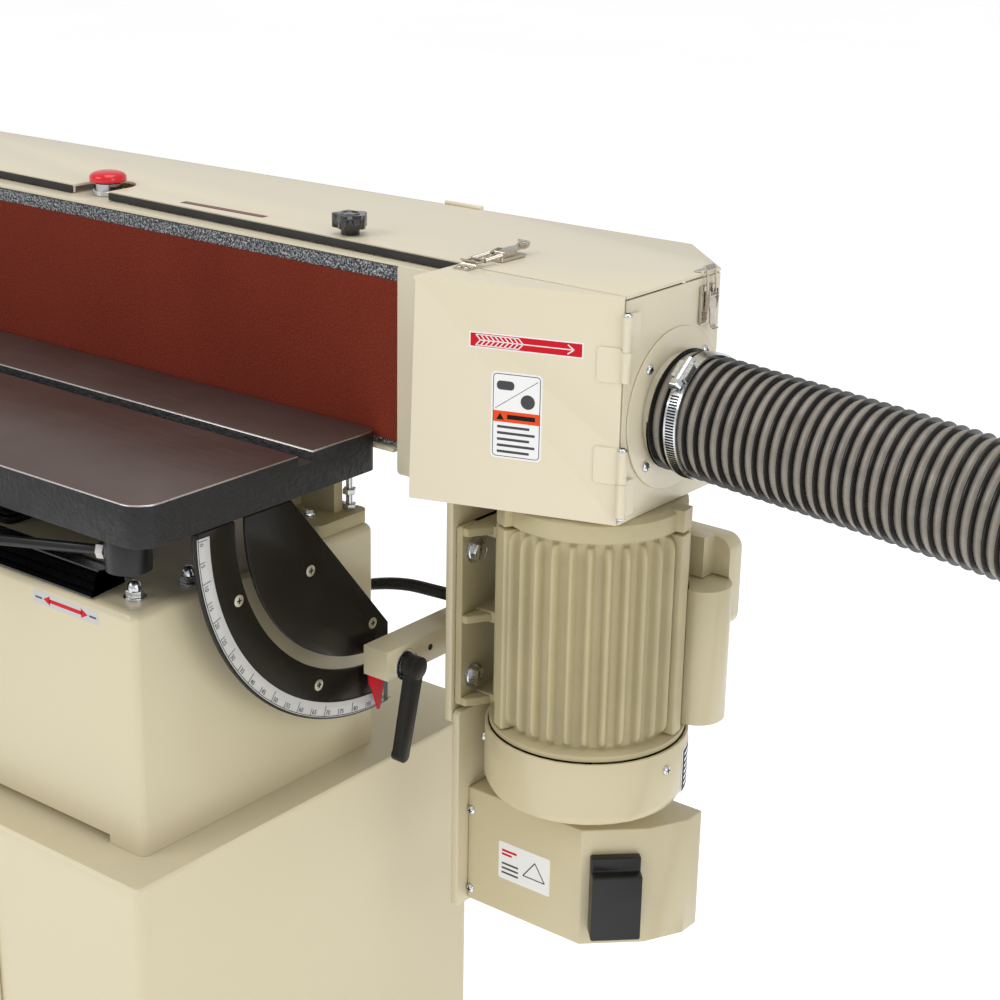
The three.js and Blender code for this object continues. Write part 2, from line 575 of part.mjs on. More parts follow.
// A toggle lever with its wire bail, closed. It runs along +Y on the lid, or down the side panel.
function topLatchLever() {
  const lever = box(-171, -159, 100, 141, 3.4, 7.4);
  const bail = union(box(-173.5, -171, 66, 112, 3.6, 6), box(-159, -156.5, 66, 112, 3.6, 6),
    box(-173.5, -156.5, 64, 67.5, 3.6, 6));
  return union(lever, bail, box(-173.5, -156.5, 108, 112, 3.6, 6.4));
}

function sideLatchLever() {
  const lever = box(3.4, 7.6, 184, 197, -48, -18);
  const wires = [182, 196.6].map((y) => box(3.6, 6, y, y + 2.4, -22, 4));
  return union(lever, ...wires, box(3.6, 6, 182, 199, 1.6, 4.2), box(3.6, 6.4, 182, 199, -24, -20));
}

// ---------------------------------------------------------------- drive guard's door
function guardDoor() {
  const d = DOOR;
  const length = Math.hypot(d.xr - d.xl, d.yr - d.yl);
  const bottom = HEAD_BOTTOM + 0.5;
  const angle = THREE.MathUtils.radToDeg(Math.atan2(d.yr - d.yl, d.xr - d.xl));
  const panel = slab("xz", outline([[d.lean, 0], [length, 0], [length, bottom], [-d.lean * 2, bottom]]), 0, SHEET, 2)
    .rotate([0, 0, angle]).translate([d.xl, d.yl, 0]);
  const wedge = (z0, z1) =>
    slab("xy", outline([[d.xl, d.yl], [d.xr, d.yr], [d.xr, BELT_Y + 0.2], [d.xl - 1, BELT_Y + 0.2], [d.xl - 1, d.yl + 1]]), z0, z1, 2);
  const catchTab = box(-172, -158, 58, 63, -1, 2.8);
  const knuckles = [[-73, -46.3], [-163, -134]].map(([z0, z1]) => cylinder("xy", HINGE.x, HINGE.y, HINGE.r, z0, z1, 14));
  const leaves = [[-73, -46.3], [-163, -134]].map(([z0, z1]) =>
    slab("xy", outline([[d.xr - 4, d.yr - 1.2], [HINGE.x, HINGE.y - 3.6], [HINGE.x, HINGE.y - 1], [d.xr - 3, d.yr + 1]]),
      z0, z1, 2),
  );
  return union(panel, wedge(-SHEET, 0), wedge(bottom, bottom + 2), catchTab, ...knuckles, ...leaves);
}

function doorHingeHalf(z0, z1) {
  const barrel = cylinder("xy", HINGE.x, HINGE.y, HINGE.r, z0, z1, 14);
  return union(barrel, box(0.4, 4.5, HINGE.y + 2, 84, z0, z1 - 1).subtract(box(2.4, 9, HINGE.y + 5, 90, z0 - 1, z1 + 1)));
}

// ---------------------------------------------------------------- motor
const BOSSES = [-118, 9, 118].map((degrees) => THREE.MathUtils.degToRad(degrees));

function motorBody() {
  const fins = 32;
  const points = [];
  for (let i = 0; i < fins; i++) {
    const middle = (i * Math.PI * 2) / fins;
    for (const [offset, r] of [[-0.3, MOTOR.root], [-0.16, MOTOR.fins], [0.16, MOTOR.fins], [0.3, MOTOR.root]]) {
      const a = middle + (offset * Math.PI * 2) / fins;
      points.push([MOTOR.x + r * Math.cos(a), MOTOR.y + r * Math.sin(a)]);
    }
  }
  const finned = slab("xy", outline(points), MOTOR.finBottom, MOTOR.finTop, 1);
  const barrel = cylinder("xy", MOTOR.x, MOTOR.y, MOTOR.root + 2, FAN_COVER.top + 0.5, MOTOR.finTop - 6, 32);
  const bossFoot = FAN_COVER.top + GAP;
  const bosses = BOSSES.map((a) => {
    const boss = new THREE.BoxGeometry(14, 17, MOTOR.finTop - bossFoot).translate(MOTOR.fins - 3, 0, 0).rotateZ(a);
    return solid(boss.translate(MOTOR.x, MOTOR.y, (MOTOR.finTop + bossFoot) / 2));
  });
  const footX0 = MOUNT.x1 + GAP;
  const flange = box(footX0, footX0 + 9, 70, 190, -430, -248);
  const webs = [[-260, -248], [-346, -334], [-430, -419]].map(([z0, z1]) => box(footX0, MOTOR.x - 60, 92, 168, z0, z1));
  const inside = cylinder("xy", MOTOR.x, MOTOR.y, 15, FAN_COVER.top - 10, MOTOR.finTop + 10, 18);
  const capacitorRoom = cylinder("xy", 12, 192, 29, -432, -286, 20);
  const boxRoom = box(-48, 60, 196, 260, -346, -240);
  return cut(union(finned, barrel, ...bosses, flange, ...webs), inside, capacitorRoom, boxRoom);
}

function motorEndBell() {
  const top = HEAD_BOTTOM - GAP;
  const bottom = MOTOR.finTop + GAP;
  const bell = turned(MOTOR.x, MOTOR.y, [[15, bottom], [MOTOR.bell, bottom], [MOTOR.bell, top - 4], [MOTOR.bell - 6, top],
    [15, top], [15, bottom]], 36);
  const lugs = BOSSES.map((a) => {
    const lug = new THREE.BoxGeometry(14, 17, top - bottom).translate(MOTOR.fins - 3, 0, 0).rotateZ(a);
    return solid(lug.translate(MOTOR.x, MOTOR.y, (top + bottom) / 2));
  });
  return union(bell, ...lugs);
}

function fanCover() {
  const c = FAN_COVER;
  return turned(MOTOR.x, MOTOR.y, [[c.r - c.wall, c.top], [c.r - c.wall, c.bottom + 17], [c.r - 8, c.bottom + 8],
    [c.r - 17, c.bottom + c.wall], [30, c.bottom + c.wall], [30, c.bottom], [c.r - 16, c.bottom], [c.r - 5, c.bottom + 6],
    [c.r, c.bottom + 16], [c.r, c.top], [c.r - c.wall, c.top]], 40);
}

function fanCoverGrille() {
  const z1 = FAN_COVER.bottom + FAN_COVER.wall - 1;
  return turned(MOTOR.x, MOTOR.y, [[0, FAN_COVER.bottom + 0.4], [29.5, FAN_COVER.bottom + 0.4], [29.5, z1], [0, z1]], 20);
}

function capacitorCover() {
  const shape = new THREE.Shape();
  shape.absarc(12, 192, 27.5, -Math.PI * 0.62, Math.PI * 0.62, false);
  shape.lineTo(-8, 210);
  shape.lineTo(-8, 176);
  const body = slab("xy", shape, -424, -290, 12);
  return cut(body, cylinder("xy", MOTOR.x, MOTOR.y, MOTOR.fins + 0.6, -430, -280, 32));
}

function junctionBox() {
  const base = box(-44, 8, 198, 216, -330, -250);
  const cover = slab("xz", roundedRect(-70, 26, -344, -252, 14), 215, 236, 5);
  return cut(union(base, cover), cylinder("xy", 12, 192, 28, -440, -289.5, 24),
    cylinder("xy", MOTOR.x, MOTOR.y, MOTOR.fins + 0.6, -430, -230, 32));
}

// ---------------------------------------------------------------- mounts below the head
function motorMountPlate() {
  const m = MOUNT;
  return slab("yz", roundedRect(m.y0, m.y1, m.bottom, HEAD_BOTTOM - GAP, 5), m.x0, m.x1, 3);
}

function switchPlate() {
  const s = SWITCH_PLATE;
  return slab("yz", roundedRect(MOUNT.y0 + 2, MOUNT.y1, s.bottom, s.top, 5), s.x0, s.x1, 3);
}

function switchBox() {
  const top = -521;
  const x0 = SWITCH_PLATE.x1 + GAP;
  const shape = outline([[x0, 84], [-38, 84], [8, 128], [27, 166], [27, 190], [x0, 190]]);
  return slab("xy", shape, SWITCH_PLATE.bottom + 4, top, 2);
}

const PADDLE = { from: [-38, 84], to: [8, 128], z0: -628, z1: -546 };

function switchPaddle() {
  const [ax, ay] = PADDLE.from;
  const [bx, by] = PADDLE.to;
  const length = Math.hypot(bx - ax, by - ay);
  const ux = (bx - ax) / length;
  const uy = (by - ay) / length;
  const at = (along, out) => [ax + ux * along + uy * out, ay + uy * along - ux * out];
  const body = slab("xy", outline([at(8, GAP), at(length - 8, GAP), at(length - 8, 22), at(8, 22)]), PADDLE.z0, PADDLE.z1, 2);
  const slant = slab("xy", outline([at(0, 10), at(length, 10), at(length, 40), at(0, 40)]), PADDLE.z1 - 14, PADDLE.z1 + 4, 2);
  return cut(body, slant);
}

function tiltBar() {
  const b = BAR;
  const bar = box(b.x0, b.x1, b.y0, b.y1, b.z0, b.z1);
  const cross = box(b.x1 - 1, MOUNT.x0 - GAP, 168, 196, b.z0, b.z1);
  const stud = cylinder("yz", CLAMP.y, CLAMP.z, 4, -290, b.x0 + 2, 12);
  const spacer = cylinder("yz", CLAMP.y, CLAMP.z, 5, QUAD.x1 + 1.3, b.x0 + 1, 12);
  const nut = box(-288, QUAD.x0 - GAP, CLAMP.y - 4, CLAMP.y + 4, CLAMP.z - 7, CLAMP.z + 7);
  const end = cylinder("yz", CLAMP.y, CLAMP.z, 7, b.x1 - 1, b.x1 + 1.5, 12);
  return union(bar, cross, stud, spacer, nut, end);
}

function tiltPointer() {
  const shape = outline([[44, -396], [64, -396], [66, -432], [60, -457], [57, -457], [50, -436], [44, -424]]);
  return cut(slab("yz", shape, BAR.x0 - 1.8, BAR.x0 - GAP, 2), cylinder("yz", CLAMP.y, CLAMP.z, 6, BAR.x0 - 3, BAR.x0 + 1, 12));
}

function clampLever() {
  const x0 = BAR.x1 + 1.5 + GAP;
  const hub = cylinder("yz", CLAMP.y, CLAMP.z, 11.5, x0, x0 + 15, 16);
  const foot = [CLAMP.y - 20, CLAMP.z - 86];
  const arm = outline([[CLAMP.y - 9, CLAMP.z], [CLAMP.y + 9, CLAMP.z], [foot[0] + 7, foot[1]], [foot[0] - 7, foot[1]]]);
  return union(hub, slab("yz", arm, x0 + 3, x0 + 14, 2), cylinder("yz", foot[0], foot[1], 7, x0 + 2, x0 + 14, 12));
}

// ---------------------------------------------------------------- hose and conduit
// Out of the port, down in one wide bend, and back along the floor under the drive end.
const HOSE_POINTS = [
  [PORT.end + 4.4, PORT.y, PORT.z], [90, PORT.y, -119], [170, PORT.y, -124.5], [250, PORT.y, -130.5], [330, PORT.y, -138],
  [410, 146, -152], [490, 148, -176], [566, 152, -213], [636, 157, -264], [696, 163, -328], [743, 170, -402],
  [776, 178, -484], [793, 187, -571], [794, 196, -659], [778, 206, -746], [746, 216, -828], [698, 226, -902],
  [636, 236, -966], [562, 246, -1016], [480, 256, -1050], [394, 267, -1067], [306, 280, -1072], [220, 296, -1073],
];

// The motor's wiring, from the pedestal's rear to the mount plate.
const CONDUIT_R = 6.5;
const CONDUIT_POINTS = [
  [-385, BLOCK.y1 + 2.2, -385], [-382, 127, -383], [-368, 146, -379], [-347, 158, -375], [-320, 163, -371],
  [-285, 161, -367.5], [-240, 156, -363], [MOUNT.x0 - 1.6, 150, -359],
];

function dustHose() {
  return sweep(HOSE_POINTS, disc(0, 0, HOSE_R), 40);
}

function wiringConduit() {
  return sweep(CONDUIT_POINTS, disc(0, 0, CONDUIT_R), 20);
}

// ---------------------------------------------------------------- assembly
const CREAM = { color: 0xdbd3c0, roughness: 0.45, metalness: 0.0 };
const MOTOR_CREAM = { color: 0xcdc3a0, roughness: 0.5, metalness: 0.0 };
const BLACK = { color: 0x1c1c1a, roughness: 0.5, metalness: 0.0 };
const STEEL = { color: 0xc8c6c0, roughness: 0.3, metalness: 1.0 };
const IRON = { color: 0x4a4644, roughness: 0.45, metalness: 0.8 };
const IRON_TOP = { color: 0x6b5f5b, roughness: 0.35, metalness: 0.7 };
const BELT = { color: 0x783026, roughness: 0.95, metalness: 0.0 };
const GRAPHITE = { color: 0x46474a, roughness: 0.7, metalness: 0.0 };
const RED = { color: 0xc41d28, roughness: 0.35, metalness: 0.0 };
const WHITE = { color: 0xe4e4e0, roughness: 0.5, metalness: 0.0 };
const RUBBER = { color: 0x232323, roughness: 0.8, metalness: 0.0 };
const HOSE = { color: 0x8b8278, roughness: 0.55, metalness: 0.0 };

const machine = new THREE.Group();
const cords = [];

function add(name, made, look, isCord = false) {
  const mesh = new THREE.Mesh(geometryOf(made), new THREE.MeshStandardMaterial(look));
  mesh.name = name;
  machine.add(mesh);
  if (isCord) cords.push(mesh);
}

add("stand_cabinet", standCabinet(), CREAM);
add("stand_door", standDoor(), CREAM);
add("stand_door_knob", standDoorKnob(), BLACK);
for (const [side, x] of [["left", STAND.x0 + 44], ["right", STAND.x1 - 44]]) {
  for (const [end, y] of [["front", STAND.y0 + 44], ["rear", STAND.y1 - 44]]) {
    add(`foot_${end}_${side}`, foot(x, y), RUBBER);
  }
}
add("base_block", baseBlock(), CREAM);
add("trunnion_bracket_right", trunnionBracket(1), MOTOR_CREAM);
add("trunnion_bracket_left", trunnionBracket(-1), MOTOR_CREAM);
add("tilt_quadrant", tiltQuadrant(), BLACK);
add("angle_scale", angleScale(), WHITE);

add("table_top", tableTop(), IRON_TOP);
add("table_saddle", tableSaddle(), IRON);
add("lift_post", liftPost(), STEEL);
add("lift_bellows", liftBellows(), RUBBER);
add("table_lock_lever", tableLockLever(), BLACK);
add("lift_handwheel", handwheel(), BLACK);
add("handwheel_handle", wheelHandle(), BLACK);

add("head_frame", headFrame(), CREAM);
add("side_panel", sidePanel(), CREAM);
add("dust_port", dustPort(), CREAM);
add("belt_post", beltPost(), CREAM);
add("idler_guard", idlerGuard(), CREAM);
add("sanding_belt", sandingBelt(), BELT);
add("graphite_pad", graphitePad(), GRAPHITE);
add("e_stop_collar", eStopCollar(), STEEL);
add("lid_hinge_left", lidHinge(-1150), CREAM);
add("lid_hinge_right", lidHinge(-345), CREAM);
add("door_hinge_upper", doorHingeHalf(-46, -16), CREAM);
add("door_hinge_lower", doorHingeHalf(-194, -163.3), CREAM);
add("motor_mount_plate", motorMountPlate(), CREAM);
add("switch_plate", switchPlate(), CREAM);
add("motor_body", motorBody(), MOTOR_CREAM);
add("motor_end_bell", motorEndBell(), MOTOR_CREAM);
add("fan_cover", fanCover(), MOTOR_CREAM);
add("fan_cover_grille", fanCoverGrille(), BLACK);
add("capacitor_cover", capacitorCover(), MOTOR_CREAM);
add("junction_box", junctionBox(), MOTOR_CREAM);
add("switch_box", switchBox(), CREAM);
add("tilt_bar", tiltBar(), CREAM);
add("tilt_pointer", tiltPointer(), RED);

add("drive_drum", driveDrum(), STEEL);
add("motor_fan", motorFan(), BLACK);
add("idler_drum", drum(IDLER_X, IDLER_Y, IDLER_R, 8), STEEL);
add("idler_bracket", idlerBracket(), IRON);
add("tension_lever", tensionLever(), BLACK);
add("tracking_knob", trackingKnob(), BLACK);
add("lid", lid(), CREAM);
add("lid_seal_left", lidSeal(FRAME_X0 + 4, -717), RUBBER);
add("lid_seal_right", lidSeal(-659, LID.frontX - 1), RUBBER);
add("lid_knob", lidKnob(), BLACK);
add("top_latch", topLatchLever(), STEEL);
add("side_latch", sideLatchLever(), STEEL);
add("guard_door", guardDoor(), CREAM);
add("e_stop_button", eStopButton(), RED);
add("switch_paddle", switchPaddle(), BLACK);
add("clamp_lever", clampLever(), BLACK);
add("dust_hose", dustHose(), HOSE, true);
add("wiring_conduit", wiringConduit(), RUBBER, true);

// The origin goes to the middle of the machine's own box, without its hose, at floor level.
const bounds = new THREE.Box3();
for (const mesh of machine.children) if (!cords.includes(mesh)) bounds.expandByObject(mesh);
const middle = bounds.getCenter(new THREE.Vector3());
machine.position.set(-Math.round(middle.x), -Math.round(middle.y), -FLOOR_Z);

const part = new THREE.Group();
part.add(machine);
export default part;
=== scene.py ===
"""Looks for the edge sander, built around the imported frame.

Shapes are in millimetres in the machine's own coordinates: X along the belt, Y to the back and Z up, from the
drive guard's top right corner. put() takes a mesh, and place() a point, into the frame, in metres.
"""
import json
import math

import bmesh
import bpy
from mathutils import Matrix, Vector


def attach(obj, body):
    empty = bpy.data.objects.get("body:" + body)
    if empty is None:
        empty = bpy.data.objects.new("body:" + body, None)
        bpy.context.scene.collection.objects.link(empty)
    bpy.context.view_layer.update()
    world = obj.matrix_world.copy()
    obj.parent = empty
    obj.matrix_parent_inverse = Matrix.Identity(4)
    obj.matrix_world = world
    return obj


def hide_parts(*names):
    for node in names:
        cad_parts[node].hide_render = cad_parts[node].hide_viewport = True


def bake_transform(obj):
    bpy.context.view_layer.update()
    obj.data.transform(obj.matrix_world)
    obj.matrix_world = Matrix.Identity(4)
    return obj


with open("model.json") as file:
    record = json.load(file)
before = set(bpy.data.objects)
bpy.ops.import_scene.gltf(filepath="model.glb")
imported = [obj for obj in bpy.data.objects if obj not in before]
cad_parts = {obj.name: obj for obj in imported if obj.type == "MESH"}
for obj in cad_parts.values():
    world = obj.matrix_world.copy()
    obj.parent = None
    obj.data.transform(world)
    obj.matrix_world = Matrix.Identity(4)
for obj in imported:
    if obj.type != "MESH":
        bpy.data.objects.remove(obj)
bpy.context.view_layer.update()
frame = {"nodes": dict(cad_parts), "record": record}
scene = bpy.context.scene
MM = 0.001
ORIGIN = Vector((658, 19, 1130))
TO_FRAME = Matrix.Scale(MM, 4) @ Matrix.Translation(ORIGIN)


def place(x, y, z):
    return (Vector((x, y, z)) + ORIGIN) * MM


# ---- camera
IMAGE_PX = 1000
FOCAL_PX = 1990.0
SENSOR_MM = 36
VIEW_LIMIT_M = 60
CAMERA = {"az": 37.64, "el": 19.41, "roll": 1.11, "at": (907.0, -1277.4, 388.7)}


def make_camera():
    az, el, roll = (math.radians(CAMERA[k]) for k in ("az", "el", "roll"))
    back = Vector((math.sin(az) * math.cos(el), -math.cos(az) * math.cos(el), math.sin(el)))
    right = (-back).cross(Vector((0, 0, 1))).normalized()
    up = right.cross(-back)
    right, up = (right * math.cos(roll) + up * math.sin(roll),
                 up * math.cos(roll) - right * math.sin(roll))
    data = bpy.data.cameras.new("camera")
    data.sensor_width = SENSOR_MM
    data.lens = FOCAL_PX * SENSOR_MM / IMAGE_PX
    data.clip_end = VIEW_LIMIT_M
    camera = bpy.data.objects.new("camera", data)
    scene.collection.objects.link(camera)
    turn = Matrix((right, up, back)).transposed().to_4x4()
    camera.matrix_world = Matrix.Translation(place(*CAMERA["at"])) @ turn
    scene.camera = camera


make_camera()


# ---- materials
class Nodes:
    """A small builder for one material's node tree."""

    def __init__(self, name):
        self.mat = bpy.data.materials.new(name)
        self.mat.use_nodes = True
        self.tree = self.mat.node_tree
        self.shader = self.tree.nodes["Principled BSDF"]
        self.coords = self.add("ShaderNodeTexCoord", "Object")

    def feed(self, node, inputs):
        """Sets or links a node's inputs by name, with _ for a space."""
        for key, value in inputs.items():
            socket = node.inputs[key.replace("_", " ")]
            if hasattr(value, "is_output"):
                self.tree.links.new(value, socket)
            else:
                socket.default_value = value

    def add(self, kind, output, settings=None, **inputs):
        node = self.tree.nodes.new(kind)
        for key, value in (settings or {}).items():
            setattr(node, key, value)
        self.feed(node, inputs)
        return node.outputs[output]

    def stretched(self, scale):
        return self.add("ShaderNodeMapping", "Vector", Scale=scale, Vector=self.coords)

    def noise(self, scale, detail=2.0, rough=0.5, vector=None):
        return self.add("ShaderNodeTexNoise", "Fac", Scale=scale, Detail=detail, Roughness=rough,
                        Vector=vector or self.coords)

    def cells(self, scale):
        return self.add("ShaderNodeTexVoronoi", "Distance", Scale=scale, Vector=self.coords)

    def spread(self, value, low, high):
        return self.add("ShaderNodeMapRange", "Result", From_Min=0.3, From_Max=0.7, To_Min=low, To_Max=high,
                        Value=value)

    def colours(self, value, stops):
        node = self.tree.nodes.new("ShaderNodeValToRGB")
        ramp = node.color_ramp
        while len(ramp.elements) < len(stops):
            ramp.elements.new(0.5)
        for element, (at, colour) in zip(ramp.elements, stops):
            element.position = at
            element.color = (*colour, 1)
        self.feed(node, {"Fac": value})
        return node.outputs["Color"]

    def mottle(self, value, colour, low, high, start=0.3, end=0.7):
        """One colour, darker and lighter by these factors."""
        return self.colours(value, [(start, shade(colour, low)), (end, shade(colour, high))])

    def times(self, first, second):
        return self.add("ShaderNodeMix", "Result", {"data_type": "RGBA", "blend_type": "MULTIPLY"},
                        Factor=1.0, A=first, B=second)

    def bump(self, height, strength, distance, **below):
        return self.add("ShaderNodeBump", "Normal", Strength=strength, Distance=distance, Height=height,
                        **below)

    def finish(self, **sockets):
        self.feed(self.shader, sockets)
        return self.mat


def shade(colour, factor):
    return tuple(min(1.0, c * factor) for c in colour)


def grey(tone):
    return (tone, tone, tone)


def paint(name, colour, rough=0.33, peel=0.07, coat=0.25, patch=0.025, gloss=0.5):
    n = Nodes(name)
    return n.finish(Base_Color=n.mottle(n.noise(3), colour, 1 - patch, 1 + patch * 0.5, 0.2, 0.8),
                    Roughness=n.spread(n.noise(12), rough - 0.02, rough + 0.03), Coat_Weight=coat,
                    Coat_Roughness=0.12, Specular_IOR_Level=gloss,
                    Normal=n.bump(n.noise(420, 2, 0.45), peel, 0.0006))


def print_ink(name, colour):
    return paint(name, colour, rough=0.4, coat=0.0, gloss=0.15)


def cast_paint(name, colour, rough=0.42, bump=0.25, gloss=0.4, deep=0.0010):
    n = Nodes(name)
    coarse = n.bump(n.noise(150, 4, 0.6), bump, deep)
    return n.finish(Base_Color=n.mottle(n.noise(14, 5, 0.6), colour, 0.9, 1.04), Specular_IOR_Level=gloss,
                    Roughness=n.spread(n.noise(90, 3), rough - 0.06, rough + 0.08),
                    Normal=n.bump(n.noise(700), bump * 0.5, 0.0004, Normal=coarse))


def metal(name, colour, rough=0.25, grain=(1, 1, 1), bump=0.05, variation=0.06):
    n = Nodes(name)
    lines = n.noise(400, 3, 0.6, n.stretched(grain))
    return n.finish(Base_Color=n.mottle(lines, colour, 1 - variation, 1 + variation), Metallic=1.0,
                    Roughness=n.spread(lines, rough - 0.05, rough + 0.1), Normal=n.bump(lines, bump, 0.0003))


def plastic(name, colour, rough=0.4, bump=0.08, scale=900, coat=0.0, gloss=0.35):
    n = Nodes(name)
    return n.finish(Base_Color=n.mottle(n.noise(25, 3), colour, 0.85, 1.15), Coat_Weight=coat,
                    Coat_Roughness=0.08, Roughness=n.spread(n.noise(70, 3), rough - 0.06, rough + 0.08),
                    Specular_IOR_Level=gloss, Normal=n.bump(n.noise(scale), bump, 0.0003))


def abrasive(name):
    n = Nodes(name)
    grit = n.noise(560, 5, 0.85)
    blotch = n.noise(9, 3, 0.55, n.stretched((1, 1, 0.35)))
    fine = n.colours(grit, [(0.30, (0.105, 0.014, 0.008)), (0.52, (0.190, 0.028, 0.014)),
                            (0.74, (0.30, 0.060, 0.034))])
    worn = n.colours(blotch, [(0.3, (0.88, 0.86, 0.86)), (0.7, grey(1.0))])
    grain = n.bump(n.cells(900), 0.35, 0.0006)
    return n.finish(Base_Color=n.times(fine, worn), Roughness=0.85, Specular_IOR_Level=0.12,
                    Normal=n.bump(grit, 0.5, 0.0005, Normal=grain))


def graphite(name):
    n = Nodes(name)
    speck = n.noise(430, 4, 0.85)
    base = n.colours(speck, [(0.40, (0.008, 0.010, 0.013)), (0.50, (0.060, 0.066, 0.073)),
                             (0.60, (0.60, 0.62, 0.63))])
    return n.finish(Base_Color=base, Roughness=0.62, Metallic=0.25, Normal=n.bump(speck, 0.6, 0.0006))


def ground_iron(name):
    n = Nodes(name)
    lines = n.noise(260, 4, 0.65, n.stretched((0.05, 3.0, 1)))
    tone = n.colours(n.noise(5, 5, 0.6), [(0.25, (0.118, 0.080, 0.070)), (0.55, (0.150, 0.108, 0.094)),
                                          (0.8, (0.178, 0.134, 0.120))])
    scratched = n.colours(lines, [(0.3, grey(0.86)), (0.7, grey(1.0))])
    return n.finish(Base_Color=n.times(tone, scratched), Metallic=0.65, Roughness=n.spread(lines, 0.30, 0.42),
                    Normal=n.bump(lines, 0.10, 0.0003))


def hose_wall(name):
    n = Nodes(name)
    streak = n.noise(45, 4, 0.6)
    base = n.colours(streak, [(0.3, (0.205, 0.184, 0.155)), (0.7, (0.300, 0.272, 0.232))])
    return n.finish(Base_Color=base, Roughness=n.spread(n.noise(120, 3), 0.24, 0.38), Specular_IOR_Level=0.45,
                    Normal=n.bump(n.noise(300, 3), 0.12, 0.0005))


M = {
    # cream_stand, motor and cover are darker, yellower copies of the cream enamel: painted shade for the
    # stand, the motor and its covers, under the head and the table.
    "cream": paint("cream_enamel", (0.690, 0.622, 0.462)),
    "cream_stand": paint("cream_enamel_stand_painted_shade", (0.620, 0.550, 0.372), rough=0.36, peel=0.10),
    "motor": cast_paint("motor_enamel_painted_shade", (0.475, 0.412, 0.242)),
    "cover": paint("motor_cover_enamel_painted_shade", (0.570, 0.500, 0.318), rough=0.30, peel=0.06),
    "cast_black": cast_paint("black_casting", (0.013, 0.013, 0.014), rough=0.46, bump=0.9, gloss=0.34,
                             deep=0.0022),
    "black_paint": paint("black_oxide", (0.007, 0.006, 0.005), rough=0.26, peel=0.05, coat=0.0, patch=0.2,
                         gloss=0.30),
    "black_plastic": plastic("black_plastic", grey(0.012), rough=0.34),
    "rubber": plastic("seal_rubber", (0.030, 0.030, 0.029), rough=0.72, bump=0.2),
    "bellows": plastic("bellows_skin", (0.008, 0.008, 0.009), rough=0.26, bump=0.15, scale=120, gloss=0.4),
    "iron": ground_iron("ground_iron"),
    "steel": metal("turned_steel", (0.55, 0.54, 0.53), rough=0.30, grain=(1, 1, 0.1)),
    "zinc": metal("zinc_plate", (0.66, 0.68, 0.70), rough=0.20, variation=0.10),
    "nickel": metal("nickel_plate", (0.55, 0.50, 0.44), rough=0.16, variation=0.10),
    "chrome": metal("chrome", (0.46, 0.47, 0.49), rough=0.10, variation=0.05, bump=0.02),
    "aluminium": metal("turned_aluminium", (0.62, 0.62, 0.63), rough=0.34, grain=(1, 1, 8)),
    "red": plastic("red_plastic", (0.62, 0.006, 0.014), rough=0.18, coat=0.5, gloss=0.3),
    "red_paint": print_ink("red_print", (0.56, 0.006, 0.016)),
    "white_print": paint("white_print", (0.80, 0.80, 0.79), rough=0.35, coat=0.15, patch=0.02),
    "orange_print": print_ink("orange_print", (0.74, 0.075, 0.012)),
    "grey_print": paint("grey_print", (0.060, 0.060, 0.065), rough=0.4, coat=0.0, gloss=0.2),
    # Black ink for print, also laid in screw recesses and clamp slots as painted shade.
    "ink_and_recess_shade": paint("black_ink_and_recess_shade", (0.008, 0.008, 0.009), rough=0.5, coat=0.0, gloss=0.12),
    "plum_print": print_ink("plum_print", (0.130, 0.035, 0.030)),
    "scale": paint("scale_plate", (0.53, 0.53, 0.52), rough=0.3, coat=0.1, patch=0.03),
    "abrasive": abrasive("abrasive_cloth"),
    "graphite": graphite("graphite_cloth"),
    "hose": hose_wall("hose_wall"),
    "hose_rib": plastic("hose_rib", (0.008, 0.0075, 0.007), rough=0.24, bump=0.1, gloss=0.4),
    "black_gloss": plastic("glossy_black_plastic", grey(0.008), rough=0.14, bump=0.03, coat=0.5, gloss=0.5),
    # near-black for the holes in the tilt bar: painted shade.
    "dark": plastic("painted_hole_shade", grey(0.010), rough=0.7),
    "zinc_dull": metal("countersunk_heads", (0.62, 0.60, 0.50), rough=0.38, variation=0.08),
    "silver_print": paint("silver_print", (0.50, 0.50, 0.49), rough=0.3, coat=0.2, patch=0.02),
    "plum_light": paint("plum_light", (0.30, 0.16, 0.14), rough=0.4, coat=0.1),
    # lighter metal for the bevel round the table's top edge: painted highlight.
    "edge_highlight": metal("painted_highlight_edge", (0.52, 0.48, 0.45), rough=0.30),
}


# ---- mesh building
def moved(bm, matrix):
    bmesh.ops.transform(bm, matrix=matrix, verts=bm.verts)
    return bm


def put(name, bm, body, look, replaces=(), bevel=0.0, segments=2, angle=30, looks=None):
    """Turns a bmesh in machine millimetres into a piece on a CAD body."""
    bmesh.ops.remove_doubles(bm, verts=bm.verts, dist=1e-4)
    bmesh.ops.recalc_face_normals(bm, faces=bm.faces)
    moved(bm, TO_FRAME)
    for face in bm.faces:
        face.smooth = True
    if not bevel:
        for edge in bm.edges:
            if len(edge.link_faces) == 2 and edge.calc_face_angle(0) > math.radians(angle):
                edge.smooth = False
    mesh = bpy.data.meshes.new(name)
    bm.to_mesh(mesh)
    bm.free()
    for key in looks or [look]:
        mesh.materials.append(M[key])
    piece = bpy.data.objects.new(name, mesh)
    scene.collection.objects.link(piece)
    if bevel:
        modifier = piece.modifiers.new("edges", "BEVEL")
        modifier.width = bevel * MM
        modifier.segments = segments
        modifier.limit_method = "ANGLE"
        modifier.angle_limit = math.radians(angle)
        modifier.harden_normals = True
    if body:
        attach(piece, body)
    if replaces:
        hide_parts(*replaces)
    return piece


